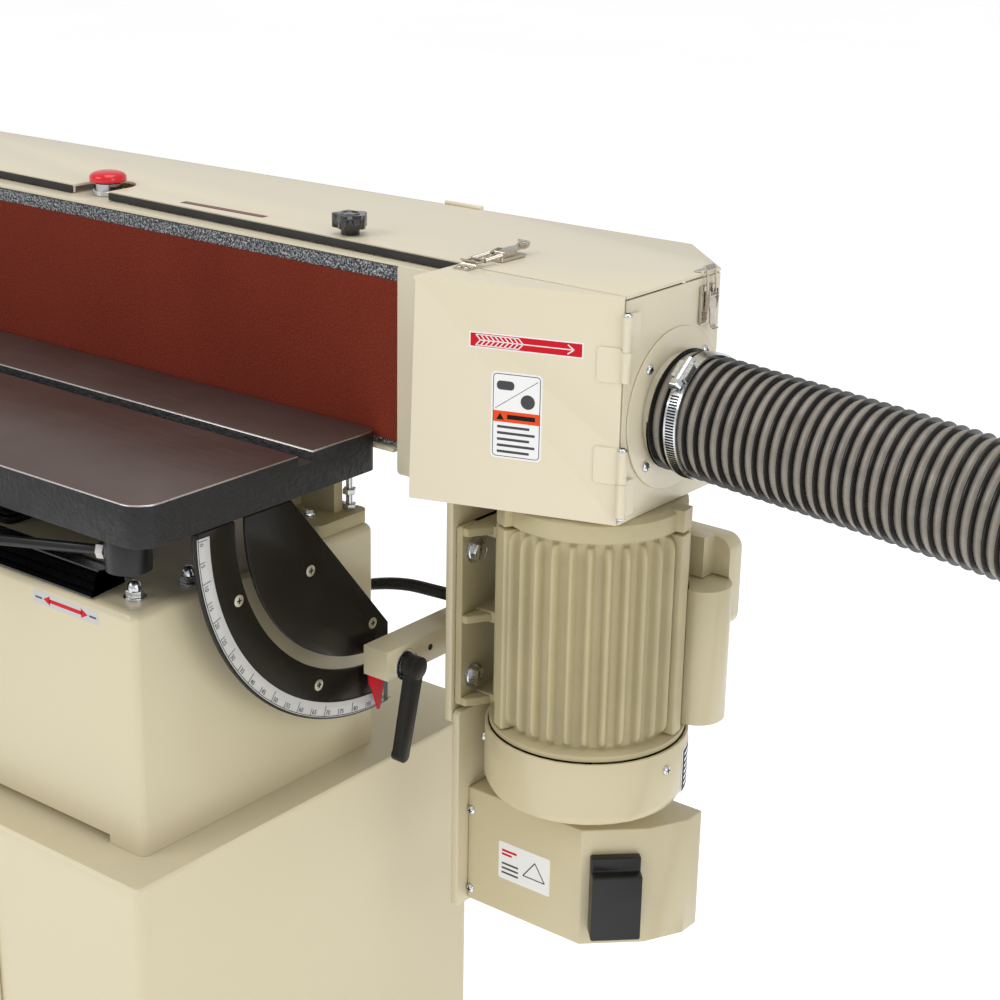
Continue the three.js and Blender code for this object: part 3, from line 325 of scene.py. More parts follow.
def node_mesh(node):
    """A copy of a CAD node's mesh in machine millimetres, with its flat faces made whole."""
    bm = bmesh.new()
    bm.from_mesh(frame["nodes"][node].data)
    moved(bm, TO_FRAME.inverted())
    bmesh.ops.remove_doubles(bm, verts=bm.verts, dist=2e-3)
    bmesh.ops.dissolve_limit(bm, angle_limit=math.radians(0.4), verts=bm.verts, edges=bm.edges)
    for layer in list(bm.loops.layers.uv.values()):
        bm.loops.layers.uv.remove(layer)
    return bm


RECORD = frame["record"]
BODY_OF = {node: body for body, nodes in RECORD["behaviour"]["bodies"].items() for node in nodes}
# A node whose foot is on the first body and whose top is on the second. Its skin is baked where it stands and
# put on no body.
STRETCHED = {"lift_bellows": ("stand", "table")}


def dress(node, look, bevel=0.8, segments=2, angle=30, extra=None, looks=None):
    """The CAD node's own shape with rounded edges and its finish."""
    bm = node_mesh(node)
    for face in bm.faces:
        face.material_index = 0
    if extra:
        extra(bm)
    body = None if node in STRETCHED else BODY_OF[node]
    piece = put(node + "_skin", bm, body, look, [node], bevel, segments, angle, looks)
    if node in STRETCHED:
        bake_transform(piece)
    return piece


def merge(*meshes):
    whole = bmesh.new()
    for part in meshes:
        data = bpy.data.meshes.new("scratch")
        part.to_mesh(data)
        part.free()
        whole.from_mesh(data)
        bpy.data.meshes.remove(data)
    return whole


AXES = {"z": Matrix.Identity(3), "x": Matrix(((0, 0, 1), (1, 0, 0), (0, 1, 0)))}
PLANES = {
    "xy": lambda a, b, height: (a, b, height),
    "yz": lambda a, b, height: (height, a, b),
    "xz": lambda a, b, height: (a, height, b),
}


def oriented(bm, axis, at):
    """Local Z goes along the axis: a letter, or a direction."""
    if isinstance(axis, str):
        turn = AXES[axis].to_4x4()
    else:
        turn = Vector(axis).to_track_quat("Z", "Y").to_matrix().to_4x4()
    return moved(bm, Matrix.Translation(at) @ turn)


def lathe(profile, axis="z", at=(0, 0, 0), segments=64):
    """Turns a profile of (radius, height) points round the local Z axis. Ends on the axis are closed."""
    bm = bmesh.new()
    rings = []
    for radius, height in profile:
        if radius < 1e-6:
            rings.append([bm.verts.new((0, 0, height))])
        else:
            rings.append([bm.verts.new((radius * math.cos(a), radius * math.sin(a), height))
                          for a in (2 * math.pi * i / segments for i in range(segments))])
    for low, high in zip(rings, rings[1:]):
        for i in range(segments):
            j = (i + 1) % segments
            corners = [low[i % len(low)], low[j % len(low)], high[j % len(high)], high[i % len(high)]]
            unique = list(dict.fromkeys(corners))
            if len(unique) > 2:
                bm.faces.new(unique)
    return oriented(bm, axis, at)


def disc(radius, low, high):
    """The profile of a solid disc."""
    return [(0, low), (radius, low), (radius, high), (0, high)]


def washer(bore, radius, low, high):
    """The profile of a flat ring."""
    return [(bore, low), (radius, low), (radius, high), (bore, high), (bore, low)]


def rod(start, end, radius, segments=20):
    start, end = Vector(start), Vector(end)
    length = (end - start).length
    return lathe(disc(radius, 0, length), (end - start).normalized(), start, segments)


def slab(points, plane, low, high):
    """A flat outline made thick. Plane 'xy' rises along Z, 'yz' along X and 'xz' along Y."""
    turn = PLANES[plane]
    bm = bmesh.new()
    bottom = [bm.verts.new(turn(a, b, low)) for a, b in points]
    top = [bm.verts.new(turn(a, b, high)) for a, b in points]
    bm.faces.new(bottom)
    bm.faces.new(top)
    for i in range(len(points)):
        j = (i + 1) % len(points)
        bm.faces.new([bottom[i], bottom[j], top[j], top[i]])
    return bm


def arc(cx, cy, r, start, end, steps=8):
    return [(cx + r * math.cos(math.radians(start + (end - start) * i / steps)),
             cy + r * math.sin(math.radians(start + (end - start) * i / steps))) for i in range(steps + 1)]


def rounded(x0, x1, y0, y1, r, steps=6):
    return (arc(x1 - r, y0 + r, r, -90, 0, steps) + arc(x1 - r, y1 - r, r, 0, 90, steps)
            + arc(x0 + r, y1 - r, r, 90, 180, steps) + arc(x0 + r, y0 + r, r, 180, 270, steps))


def join_rings(bm, rings):
    """Faces between rings of the same size, and one over each end."""
    count = len(rings[0])
    for low, high in zip(rings, rings[1:]):
        for i in range(count):
            j = (i + 1) % count
            bm.faces.new([low[i], low[j], high[j], high[i]])
    bm.faces.new(rings[0])
    bm.faces.new(rings[-1])


def smooth_path(points, step):
    """A centripetal curve through the points, resampled at even steps, and its length."""
    pts = [Vector(p) for p in points]
    pts = [pts[0] * 2 - pts[1]] + pts + [pts[-1] * 2 - pts[-2]]
    fine = []
    for a, b, c, d in zip(pts, pts[1:], pts[2:], pts[3:]):
        t = [0.0]
        for p, q in ((a, b), (b, c), (c, d)):
            t.append(t[-1] + max((q - p).length, 1e-6) ** 0.5)
        for i in range(24):
            u = t[1] + (t[2] - t[1]) * i / 24

            def between(p, q, i0, i1):
                span = t[i1] - t[i0]
                return p * ((t[i1] - u) / span) + q * ((u - t[i0]) / span)

            ab, bc, cd = between(a, b, 0, 1), between(b, c, 1, 2), between(c, d, 2, 3)
            fine.append(between(between(ab, bc, 0, 2), between(bc, cd, 1, 3), 1, 2))
    fine.append(pts[-2])
    lengths = [0.0]
    for p, q in zip(fine, fine[1:]):
        lengths.append(lengths[-1] + (q - p).length)
    count = max(2, round(lengths[-1] / step))
    out, k = [], 0
    for i in range(count + 1):
        want = lengths[-1] * i / count
        while k < len(fine) - 2 and lengths[k + 1] < want:
            k += 1
        share = (want - lengths[k]) / max(lengths[k + 1] - lengths[k], 1e-9)
        out.append(fine[k].lerp(fine[k + 1], min(1.0, share)))
    return out, lengths[-1]


def frames_along(path):
    """Two directions across the path at each of its points, carried along without twist."""
    tangents = []
    for i in range(len(path)):
        tangents.append((path[min(i + 1, len(path) - 1)] - path[max(i - 1, 0)]).normalized())
    side = tangents[0].cross(Vector((0, 0, 1)))
    if side.length < 1e-3:
        side = tangents[0].cross(Vector((0, 1, 0)))
    side.normalize()
    result = []
    for tangent in tangents:
        side = (side - tangent * side.dot(tangent)).normalized()
        result.append((side, tangent.cross(side)))
    return result


def ribbed_tube(points, radius_of, pitch, rings_per_turn, sides, rib_rings):
    """A tube whose rings follow a helix, with its ribs' faces in the second material. Also returns its
    path in the frame and its length."""
    path, length = smooth_path(points, pitch / rings_per_turn)
    directions = frames_along(path)
    last = len(path) - 1
    bm = bmesh.new()
    grid = []
    for i in range(-rings_per_turn, last + 1):
        row = []
        for j in range(sides + 1):
            along = min(max(i + rings_per_turn * j / sides, 0), last)
            k = min(int(along), last - 1)
            share = along - k
            centre = path[k].lerp(path[k + 1], share)
            u = directions[k][0].lerp(directions[k + 1][0], share).normalized()
            v = directions[k][1].lerp(directions[k + 1][1], share).normalized()
            a = 2 * math.pi * j / sides
            radius = radius_of((i % rings_per_turn) / rings_per_turn)
            row.append(bm.verts.new(centre + (u * math.cos(a) + v * math.sin(a)) * radius))
        grid.append(row)
    for i in range(len(grid) - 1):
        for j in range(sides):
            face = bm.faces.new([grid[i][j], grid[i][j + 1], grid[i + 1][j + 1], grid[i + 1][j]])
            face.material_index = int(i % rings_per_turn in rib_rings)
    bmesh.ops.remove_doubles(bm, verts=bm.verts, dist=0.02)
    bmesh.ops.dissolve_degenerate(bm, edges=bm.edges, dist=0.01)
    open_edges = [e for e in bm.edges if len(e.link_faces) == 1]
    bmesh.ops.holes_fill(bm, edges=open_edges, sides=0)
    return bm, [place(*p) for p in path], length


# ---- the hose and the conduit
HOSE_POINTS = [
    (9.0, 145.4, -113.1), (90, 145.4, -119), (170, 145.4, -124.5), (250, 145.4, -130.5), (330, 145.4, -138),
    (410, 146, -152), (490, 148, -176), (566, 152, -213), (636, 157, -264), (696, 163, -328),
    (743, 170, -402), (776, 178, -484), (793, 187, -571), (794, 196, -659), (778, 206, -746),
    (746, 216, -828), (698, 226, -902), (636, 236, -966), (562, 246, -1016), (480, 256, -1050),
    (394, 267, -1067), (306, 280, -1072), (220, 296, -1073),
]
HOSE_R = 55.0
HOSE_PITCH = 11.6
HOSE_SIDES = 56
RINGS_PER_TURN = 10
RIB_RINGS = {0, 1, 2}
RIB_SHARE = 0.3
RIB_RISE = 1.8
WALL_DEPTH = 4.6
WALL_BULGE = 2.0


def hose_radius(phase):
    """The radius over one turn of the helix: a round black rib, then the softly bulging wall."""
    if phase < RIB_SHARE:
        return HOSE_R - RIB_RISE + RIB_RISE * max(0.0, math.sin(math.pi * phase / RIB_SHARE)) ** 0.6
    wall = math.sin(math.pi * (phase - RIB_SHARE) / (1 - RIB_SHARE))
    return HOSE_R - WALL_DEPTH + WALL_BULGE * max(0.0, wall)


def make_hose():
    bm, path, length = ribbed_tube(HOSE_POINTS, hose_radius, HOSE_PITCH, RINGS_PER_TURN, HOSE_SIDES,
                                   RIB_RINGS)
    hose = put("dust_hose_skin", bm, None, None, ["dust_hose"], angle=70, looks=["hose", "hose_rib"])
    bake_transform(hose)
    return hose, path, length


hose, hose_path, hose_length = make_hose()

CONDUIT_POINTS = [
    (-385, 107.2, -385), (-382, 127, -383), (-368, 146, -379), (-347, 158, -375), (-320, 163, -371),
    (-285, 161, -367.5), (-240, 156, -363), (-193.1, 150, -359),
]
CONDUIT_R = 5.0
CORRUGATION = 1.6
CONDUIT_STEP = 0.65
STEPS_PER_CORRUGATION = 4
CONDUIT_SIDES = 20
ALL_SMOOTH = 180


def make_conduit():
    path, length = smooth_path(CONDUIT_POINTS, CONDUIT_STEP)
    bm = bmesh.new()
    rings = []
    for k, (centre, (u, v)) in enumerate(zip(path, frames_along(path))):
        phase = (k % STEPS_PER_CORRUGATION) / STEPS_PER_CORRUGATION
        radius = CONDUIT_R + CORRUGATION * math.sin(math.pi * phase)
        rings.append([bm.verts.new(centre + (u * math.cos(a) + v * math.sin(a)) * radius)
                      for a in (2 * math.pi * i / CONDUIT_SIDES for i in range(CONDUIT_SIDES))])
    join_rings(bm, rings)
    piece = put("wiring_conduit_skin", bm, None, "hose_rib", ["wiring_conduit"], angle=ALL_SMOOTH)
    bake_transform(piece)
    return piece, [place(*p) for p in path], length


conduit, conduit_path, conduit_length = make_conduit()


# ---- small parts used many times
PRINT_BACK = 0.02
PRINT_FRONT = 0.12
PRINT_STEP = 0.07


def tint(bm, index):
    for face in bm.faces:
        face.material_index = index
    return bm


def on_plane(bm, origin, across, up):
    """Local X goes across, local Y up, and local Z out of the surface."""
    across, up = Vector(across).normalized(), Vector(up).normalized()
    turn = Matrix((across, up, across.cross(up))).transposed().to_4x4()
    return moved(bm, Matrix.Translation(origin) @ turn)


def decal(name, body, origin, across, up, shapes):
    """Thin printed layers: each shape is (outline, look, level), and a higher level lies on a lower one."""
    looks = list(dict.fromkeys(look for _, look, _ in shapes))
    layers = []
    for points, look, level in shapes:
        layer = slab(points, "xy", PRINT_BACK, PRINT_FRONT + PRINT_STEP * level)
        layers.append(tint(layer, looks.index(look)))
    put(name, on_plane(merge(*layers), origin, across, up), body, None, looks=looks)


def fastenings(name, parts, body="head", looks=("zinc", "ink_and_recess_shade"), angle=40):
    """Bright metal pieces, with a second look in their recesses: a dark painted shade."""
    put(name, merge(*parts), body, None, looks=looks, angle=angle)


def rect(x0, x1, y0, y1):
    return [(x0, y0), (x1, y0), (x1, y1), (x0, y1)]


def bar(a, b, width):
    """A straight stroke from a to b."""
    a, b = Vector(a), Vector(b)
    side = (b - a).normalized().orthogonal() * (width / 2)
    return [tuple(a + side), tuple(a - side), tuple(b - side), tuple(b + side)]


def pan_head(at, axis, r=4.2):
    """A domed screw whose cross recess is drawn as a slightly raised cross in the second look: painted shade
    for the recess.
    """
    head = lathe([(0, 0), (r, 0), (r, 0.30 * r), (r * 0.86, 0.50 * r), (r * 0.5, 0.66 * r), (0, 0.70 * r)],
                 segments=24)
    slots = [tint(slab(rect(-a, a, -b, b), "xy", 0.60 * r, 0.73 * r), 1)
             for a, b in ((0.52 * r, 0.11 * r), (0.11 * r, 0.52 * r))]
    return oriented(merge(tint(head, 0), *slots), axis, at)


def hex_bolt(at, axis, r, height, washer_r):
    """A hexagon head on a flange and a washer."""
    plate = lathe(disc(washer_r, 0, 1.6), segments=36)
    collar = lathe([(0, 1.6), (r * 1.12, 1.6), (r * 1.05, 2.8), (0, 2.8)], segments=36)
    head = lathe([(0, 2.6), (r, 2.6), (r, 2.2 + height), (r * 0.86, 2.6 + height), (0, 2.6 + height)],
                 segments=6)
    return oriented(tint(merge(plate, collar, head), 0), axis, at)


def hex_nut(at, axis, r=7.5, height=6.0):
    return oriented(lathe([(0, 0), (r * 0.9, 0), (r, 0.8), (r, height - 0.8), (r * 0.9, height), (0, height)],
                          segments=6), axis, at)


def acorn_nut(at, r=8.0):
    plate = lathe(disc(r * 1.3, 0, 1.6), "z", at, 36)
    nut = hex_nut((at[0], at[1], at[2] + 1.6), "z", r, 6.5)
    dome = lathe([(0.82 * r, 8.0), (0.82 * r, 10.5), (0.70 * r, 13.6), (0.45 * r, 15.6), (0, 16.4)],
                 "z", at, 28)
    base = lathe(disc(0.82 * r, 7.9, 8.1), "z", at, 28)
    return tint(merge(plate, nut, dome, base), 0)


def turned(bm, x, y, angle):
    """Turns a mesh round the vertical through its origin and takes it to (x, y)."""
    return moved(bm, Matrix.Translation((x, y, 0)) @ Matrix.Rotation(angle, 4, "Z"))


def strip(points, thickness):
    """The outline of a bent strip of sheet."""
    pts = [Vector(p) for p in points]
    left, right = [], []
    for i, p in enumerate(pts):
        along = (pts[min(i + 1, len(pts) - 1)] - pts[max(i - 1, 0)]).normalized()
        side = Vector((-along.y, along.x)) * (thickness / 2)
        left.append(tuple(p + side))
        right.append(tuple(p - side))
    return left + right[::-1]


def spring(start, end, radius, turns):
    """A closely wound coil between two points."""
    direction = Vector(end) - Vector(start)
    length = direction.length
    steps = turns * 4
    profile = [(0, 0)]
    for i in range(steps + 1):
        profile.append((radius - 0.35 + 0.35 * math.cos(math.pi * i / 2), length * i / steps))
    profile.append((0, length))
    return lathe(profile, direction.normalized(), start, 16)


def text_mesh(text, size):
    """Upright figures from the built-in font, starting at the origin, 0.12 mm thick."""
    curve = bpy.data.curves.new("scratch", "FONT")
    curve.body = text
    curve.size = size
    curve.extrude = 0.05
    curve.resolution_u = 3
    carrier = bpy.data.objects.new("scratch", curve)
    scene.collection.objects.link(carrier)
    bpy.context.view_layer.update()
    mesh = bpy.data.meshes.new_from_object(carrier.evaluated_get(bpy.context.evaluated_depsgraph_get()))
    bm = bmesh.new()
    bm.from_mesh(mesh)
    bpy.data.objects.remove(carrier)
    bpy.data.curves.remove(curve)
    bpy.data.meshes.remove(mesh)
    bmesh.ops.remove_doubles(bm, verts=bm.verts, dist=1e-4)
    return bm


# ---- hose clamp, port screws
PORT_Y, PORT_Z = 145.4, -113.8
CLAMP_X0, CLAMP_X1 = 27.0, 39.0
CLAMP_Z = PORT_Z - 1
BAND_R = HOSE_R + 0.5
BAND_OUTSIDE = BAND_R + 0.9
BAND_SLOTS = 46
SCREW_CIRCLE_R = 62


def hose_clamp():
    """A worm-drive clamp: the band, the slots at its back, and the housing with its screw. The slots and the
    screw's slot are thin dark patches in the second look: painted shade.
    """
    width = CLAMP_X1 - CLAMP_X0
    middle = Vector(((CLAMP_X0 + CLAMP_X1) / 2, PORT_Y, CLAMP_Z))
    along_hose = (1, 0, 0)
    band = lathe(washer(BAND_R - 1, BAND_OUTSIDE, 0, width), "x", (CLAMP_X0, PORT_Y, CLAMP_Z), 96)
    parts = [tint(band, 0)]
    for i in range(BAND_SLOTS):
        a = math.radians(150 + 118 * i / (BAND_SLOTS - 1))
        slot = slab(rect(-0.75, 0.75, -4.0, 4.0), "xy", 0, 0.25)
        radial = Vector((0, math.cos(a), math.sin(a)))
        across = radial.cross(Vector(along_hose)) * -1
        parts.append(tint(on_plane(slot, middle + radial * BAND_OUTSIDE, across, along_hose), 1))
    a = math.radians(128)
    radial = Vector((0, math.cos(a), math.sin(a)))
    tangent = Vector((0, -math.sin(a), math.cos(a)))
    centre = middle + radial * (BAND_R + 5.4)
    house = slab(rounded(-9, 9, -7.5, 7.5, 2.5), "xy", -4.6, 3.2)
    parts.append(tint(on_plane(house, centre, tangent, along_hose), 0))
    parts.append(tint(rod(centre - tangent * 13, centre + tangent * 13, 4.6, 24), 0))
    parts.append(tint(hex_nut(centre + tangent * 12, tangent, 6.0, 6.5), 0))
    screw_slot = tint(slab(rect(-0.8, 0.8, -5, 5), "xy", 0, 0.3), 1)
    parts.append(on_plane(screw_slot, centre + tangent * 18.5, radial, along_hose))
    fastenings("hose_clamp", parts)


def port_screws():
    heads = []
    for k in range(4):
        a = math.radians(45 + 90 * k)
        at = (2.1, PORT_Y + SCREW_CIRCLE_R * math.cos(a), PORT_Z + SCREW_CIRCLE_R * math.sin(a))
        heads.append(pan_head(at, "x", 4.6))
    fastenings("port_screws", heads)


hose_clamp()
port_screws()

# ---- drive guard: labels, hinges, latches
DOOR_ORIGIN = (-180, 4, 0)
DOOR_ALONG = (0.94868, 0.31623, 0)
UP = (0, 0, 1)


def feathered_arrow(x0, x1, y, half):
    """A straight shaft with ten feathers on each side, between two lines, and a head at its right end."""
    pitch, feathers = 4.3, 10
    line = half * 0.72
    strokes = [((x0 + 8, y), (x1 - 7, y), 0.9)]
    for k in range(feathers):
        s = x0 + 5 + k * pitch
        strokes += [((s, y + line), (s + 4.4, y), 1.0), ((s, y - line), (s + 4.4, y), 1.0)]
    for side in (1, -1):
        level = y + side * half * 0.72
        strokes.append(((x0 + 5, level), (x0 + 5 + pitch * (feathers - 1), level), 0.8))
        strokes.append(((x1 - 13, y + side * half * 0.62), (x1 - 7.4, y), 1.0))
    return [(bar(*stroke), "white_print", 2) for stroke in strokes]


def door_labels():
    x0, x1, y0, y1 = 52, 155, -57, -43
    arrow = [(rect(x0, x1, y0, y1), "white_print", 0),
             (rect(x0 + 1.2, x1 - 1.2, y0 + 1.2, y1 - 1.2), "red_paint", 1)]
    decal("direction_label", BODY_OF["guard_door"], DOOR_ORIGIN, DOOR_ALONG, UP,
          arrow + feathered_arrow(x0 + 1, x1 - 1, (y0 + y1) / 2, 6.6))
    x0, x1, y0, y1 = 73, 119.5, -154, -76
    shapes = [(rounded(x0, x1, y0, y1, 4), "white_print", 0),
              (rounded(x0 + 1.6, x1 - 1.6, y0 + 1.6, y1 - 1.6, 3.4), "grey_print", 1),
              (rounded(x0 + 2.3, x1 - 2.3, y0 + 2.3, y1 - 2.3, 2.8), "white_print", 2),
              (rect(x0 + 2.3, x1 - 2.3, -121, -111), "orange_print", 3),
              (bar((x0 + 4, -109), (x1 - 4, -82), 0.5), "grey_print", 3),
              (rounded(x0 + 5, x0 + 21, -92, -84, 3.4), "grey_print", 3),
              (arc(x1 - 13, -101, 6.5, 0, 345, 23), "grey_print", 3),
              ([(x0 + 5, -119), (x0 + 12, -119), (x0 + 8.5, -113)], "ink_and_recess_shade", 4),
              (rect(x0 + 15, x1 - 6, -118, -114), "ink_and_recess_shade", 4)]
    for k in range(5):
        row = -126.5 - k * 5.6
        shapes.append((rect(x0 + 6, x1 - (6 if k % 2 else 11), row, row + 2.3), "grey_print", 3))
    decal("care_label", BODY_OF["guard_door"], DOOR_ORIGIN, DOOR_ALONG, UP, shapes)


def door_hardware():
    leaves = []
    for z0, z1 in ((-75, -44), (-165, -132)):
        leaf = slab(rounded(167, 189.5, z0, z1, 3.5), "xy", -0.5, 1.5)
        leaves.append(on_plane(leaf, DOOR_ORIGIN, DOOR_ALONG, UP))
    put("door_leaves", merge(*leaves), BODY_OF["guard_door"], "cream", bevel=0.7)
    fixed = []
    for z0, z1 in ((-47, -15), (-195, -162.5)):
        fixed.append(slab(rounded(66, 83, z0, z1, 2.5), "yz", 0.4, 4.2))
    put("door_fixed_leaves", merge(*fixed), "head", "cream", bevel=0.7)
    pin_x, pin_y, pin_r = 4, 63.5, 4.0
    fastenings("hinge_pin_heads", [pan_head((pin_x, pin_y, z), "z", pin_r) for z in (-15.8, -133.8)])
    fastenings("hinge_pin_ends", [pan_head((pin_x, pin_y, -194.2), (0, 0, -1), pin_r)])


door_labels()
door_hardware()


def nickel(name, bm, body, replaces=(), bevel=0.0, angle=30):
    put(name, bm, body, "nickel", replaces, bevel, angle=angle)


def top_latch():
    """A toggle latch over the drive guard's top: its lever, the sprung bail, and the hook on the door."""
    x0, x1 = -171.6, -158.4
    bent = strip([(104, 4.4), (109, 6.2), (118, 7.0), (128, 7.2), (135, 6.6), (139, 7.4), (141.5, 10.2),
                  (140, 12.2)], 1.5)
    cheek = [(102, 3.9), (116, 3.9), (121, 7.0), (112, 9.2), (103, 8.0)]
    cheeks = [slab(cheek, "yz", x, x + 1.2) for x in (x0 - 1.3, x1 + 0.1)]
    pin = rod((x0 - 2, 106, 6.4), (x1 + 2, 106, 6.4), 1.6)
    nickel("top_latch_lever", merge(slab(bent, "yz", x0, x1), *cheeks, pin), BODY_OF["top_latch"],
           ["top_latch"], bevel=0.35)
    wires = []
    for x in (x0 - 0.6, x1 + 0.6):
        wires.append(rod((x, 106, 6.2), (x, 66, 4.9), 1.0, 12))
        wires.append(spring((x, 98, 6.0), (x, 74, 5.1), 2.1, 11))
    wires.append(rod((x0 - 1.6, 65.6, 4.9), (x1 + 1.6, 65.6, 4.9), 1.0, 12))
    wires.append(slab(rect(x0 - 1.4, x1 + 1.4, 71, 75), "xy", 4.2, 6.6))
    nickel("top_latch_bail", merge(*wires), BODY_OF["top_latch"], angle=40)
    base = slab(rounded(x0 - 4, x1 + 4, 95, 131, 2), "xy", 0.3, 3.4)
    nickel("top_latch_base", base, BODY_OF["lid"], bevel=0.5)
    bent = strip([(49, 0.9), (57, 0.9), (61, 1.4), (62.6, 4.0), (61.2, 6.6), (59, 7.2)], 1.4)
    hook = slab(bent, "yz", -173, -157)
    heads = [pan_head((x, 52.5, 1.4), "z", 2.6) for x in (-169, -161)]
    fastenings("top_latch_hook", [hook, *heads], BODY_OF["guard_door"], ("nickel", "ink_and_recess_shade"))


def side_latch():
    """The same latch on the right side: its lever narrows to the tail, and its hook hangs from the lid."""
    y0, y1 = 184.4, 196.6
    middle, waist_z, taper, narrowest = 190.5, -24, 50, 0.5
    bent = strip([(5.0, -17), (7.0, -23), (7.6, -34), (7.2, -43), (8.4, -47.4), (11.0, -49.0),
                  (12.8, -48.2)], 1.5)
    lever = slab(bent, "xz", y0, y1)
    for vert in lever.verts:
        if vert.co.z < waist_z:
            share = max(narrowest, 1 + (vert.co.z - waist_z) / taper)
            vert.co.y = middle + (vert.co.y - middle) * share
    cheek = [(3.9, -34), (3.9, -15), (8.4, -14), (9.4, -22), (7.2, -34)]
    cheeks = [slab(cheek, "xz", y, y + 1.2) for y in (y0 - 1.3, y1 + 0.1)]
    pin = rod((6.6, y0 - 2, -20), (6.6, y1 + 2, -20), 1.6)
    nickel("side_latch_lever", merge(lever, *cheeks, pin), BODY_OF["side_latch"], ["side_latch"], bevel=0.35)
    wires = [rod((6.2, y, -20), (4.2, y, 3.2), 1.1, 12) for y in (y0 - 0.6, y1 + 0.6)]
    wires.append(rod((4.2, y0 - 1.7, 3.2), (4.2, y1 + 1.7, 3.2), 1.1, 12))
    nickel("side_latch_bail", merge(*wires), BODY_OF["side_latch"], angle=40)
    nickel("side_latch_base", slab(rounded(178.5, 202.5, -45, -11, 2), "yz", 0.4, 3.2), "head", bevel=0.5)
    bent = strip([(-9, 0.7), (-1, 0.9), (2.2, 1.4), (3.4, 3.6), (2.4, 5.8), (0.4, 6.2)], 1.3)
    nickel("side_latch_hook", slab(bent, "xz", 182.5, 198.5), BODY_OF["lid"], bevel=0.3)


top_latch()
side_latch()

# ---- motor
MOTOR_X, MOTOR_Y = -70.0, 130.5
RIBS = 32
POINTS_PER_RIB = 16
END_ROWS = 11
RIB_TOP, RIB_BOTTOM = -224.2, -424.0
BARREL_R = 80.4
RIB_HEIGHT = 8.9
VALLEY_DEPTH = 1.6
COVER_R = 96


def rib_rows():
    """Heights along the barrel, each with how far the ribs stand out there, from 0 to 1."""
    rows = [(RIB_BOTTOM, 0.0)]
    shares = [k / (END_ROWS - 1) for k in range(END_ROWS)]
    for share in shares:
        rows.append((RIB_BOTTOM + 3 + 15 * share ** 1.6, math.sin(math.pi / 2 * share) ** 0.7))
    for share in shares:
        rows.append((RIB_TOP - 4 - 15 * (1 - share) ** 1.6, math.cos(math.pi / 2 * share) ** 0.7))
    return rows + [(RIB_TOP, 0.0)]


def motor_ribs():
    """The finned barrel: rounded ribs that sink into the barrel at both ends."""
    around = RIBS * POINTS_PER_RIB
    bm = bmesh.new()
    rings = []
    for z, lift in rib_rows():
        ring = []
        for i in range(around):
            phase = abs((i % POINTS_PER_RIB) / POINTS_PER_RIB - 0.5)
            if phase < 0.25:
                out = RIB_HEIGHT * max(0.0, math.cos(math.pi * phase / 0.50)) ** 0.75
            else:
                out = -VALLEY_DEPTH * math.sin(math.pi / 2 * (phase - 0.25) / 0.25)
            a = 2 * math.pi * (i - POINTS_PER_RIB / 2) / around
            r = BARREL_R + out * lift
            ring.append(bm.verts.new((MOTOR_X + r * math.cos(a), MOTOR_Y + r * math.sin(a), z)))
        rings.append(ring)
    join_rings(bm, rings)
    put("motor_ribs", bm, "head", "motor", ["motor_body"], angle=80)


def motor_frame():
    """The end disc, the three rails between the ribs, and the foot with its webs and bolts."""
    end = lathe([(0, -431.8), (92.4, -431.8), (92.8, -430), (92.8, -426.5), (90, -425), (70, -423),
                 (0, -423)], "z", (MOTOR_X, MOTOR_Y, 0), 96)
    put("motor_end_disc", end, "head", "motor", angle=50)
    rails = []
    for degrees in (-118, 9, 118):
        rail = slab(rounded(79, 93.3, -8.3, 8.3, 2.2), "xy", -423.5, -227.0)
        rails.append(turned(rail, MOTOR_X, MOTOR_Y, math.radians(degrees)))
    put("motor_rails", merge(*rails), "head", "motor", bevel=1.5, segments=3)
    foot = [slab(rounded(70.3, 189.7, -429.7, -248.3, 3), "yz", -183, -175.5)]
    bridge = [(-183, 92.3), (-183, 167.7), (-132, 167.7), (-130, 150), (-130, 110), (-132, 92.3)]
    for z0, z1 in ((-259.7, -248.3), (-345.7, -334.3), (-429.7, -419.3)):
        foot.append(slab(bridge, "xy", z0, z1))
    for z0, z1 in ((-257, -248.6), (-344, -336), (-429.4, -421)):
        for edge, inner in ((70.5, 108), (189.5, 152)):
            foot.append(slab([(-176, edge), (-170, edge), (-146, inner), (-176, inner)], "xy", z0, z1))
    put("motor_foot", merge(*foot), "head", "motor", bevel=1.6)
    bolts = [hex_bolt((-175.4, y, z), "x", 9.0, 6.5, 12.5) for y in (88, 172) for z in (-275, -403)]
    fastenings("motor_foot_bolts", bolts, angle=30)


def fan_cover_details():
    """Three screws round the fan cover, and a rating plate with rows of plain bars for its text."""
    screws = []
    for x, y in ((-146, 71), (0, 125), (-60, 226)):
        out = Vector((x - MOTOR_X, y - MOTOR_Y, 0)).normalized()
        screws.append(pan_head(Vector((MOTOR_X, MOTOR_Y, -452)) + out * (COVER_R + 0.3), out, 4.4))
    fastenings("fan_cover_screws", screws)

    def sector(a0, a1, inner, outer, z0, z1):
        outline = arc(MOTOR_X, MOTOR_Y, outer, a0, a1, 14) + arc(MOTOR_X, MOTOR_Y, inner, a1, a0, 14)
        return slab(outline, "xy", z0, z1)

    plate = [tint(sector(14, 52, COVER_R - 0.5, COVER_R + 0.75, -490, -444), 0),
             tint(sector(15.5, 50.5, COVER_R, COVER_R + 0.85, -488, -446), 1)]
    for k in range(6):
        row = -484 + 6.2 * k
        for a0, a1 in ((18, 30 + 5 * (k % 3)), (42, 49)):
            plate.append(tint(sector(a0, a1, COVER_R, COVER_R + 0.95, row, row + 2.6), 0))
    put("rating_plate", merge(*plate), "head", None, looks=["zinc", "ink_and_recess_shade"], angle=40)


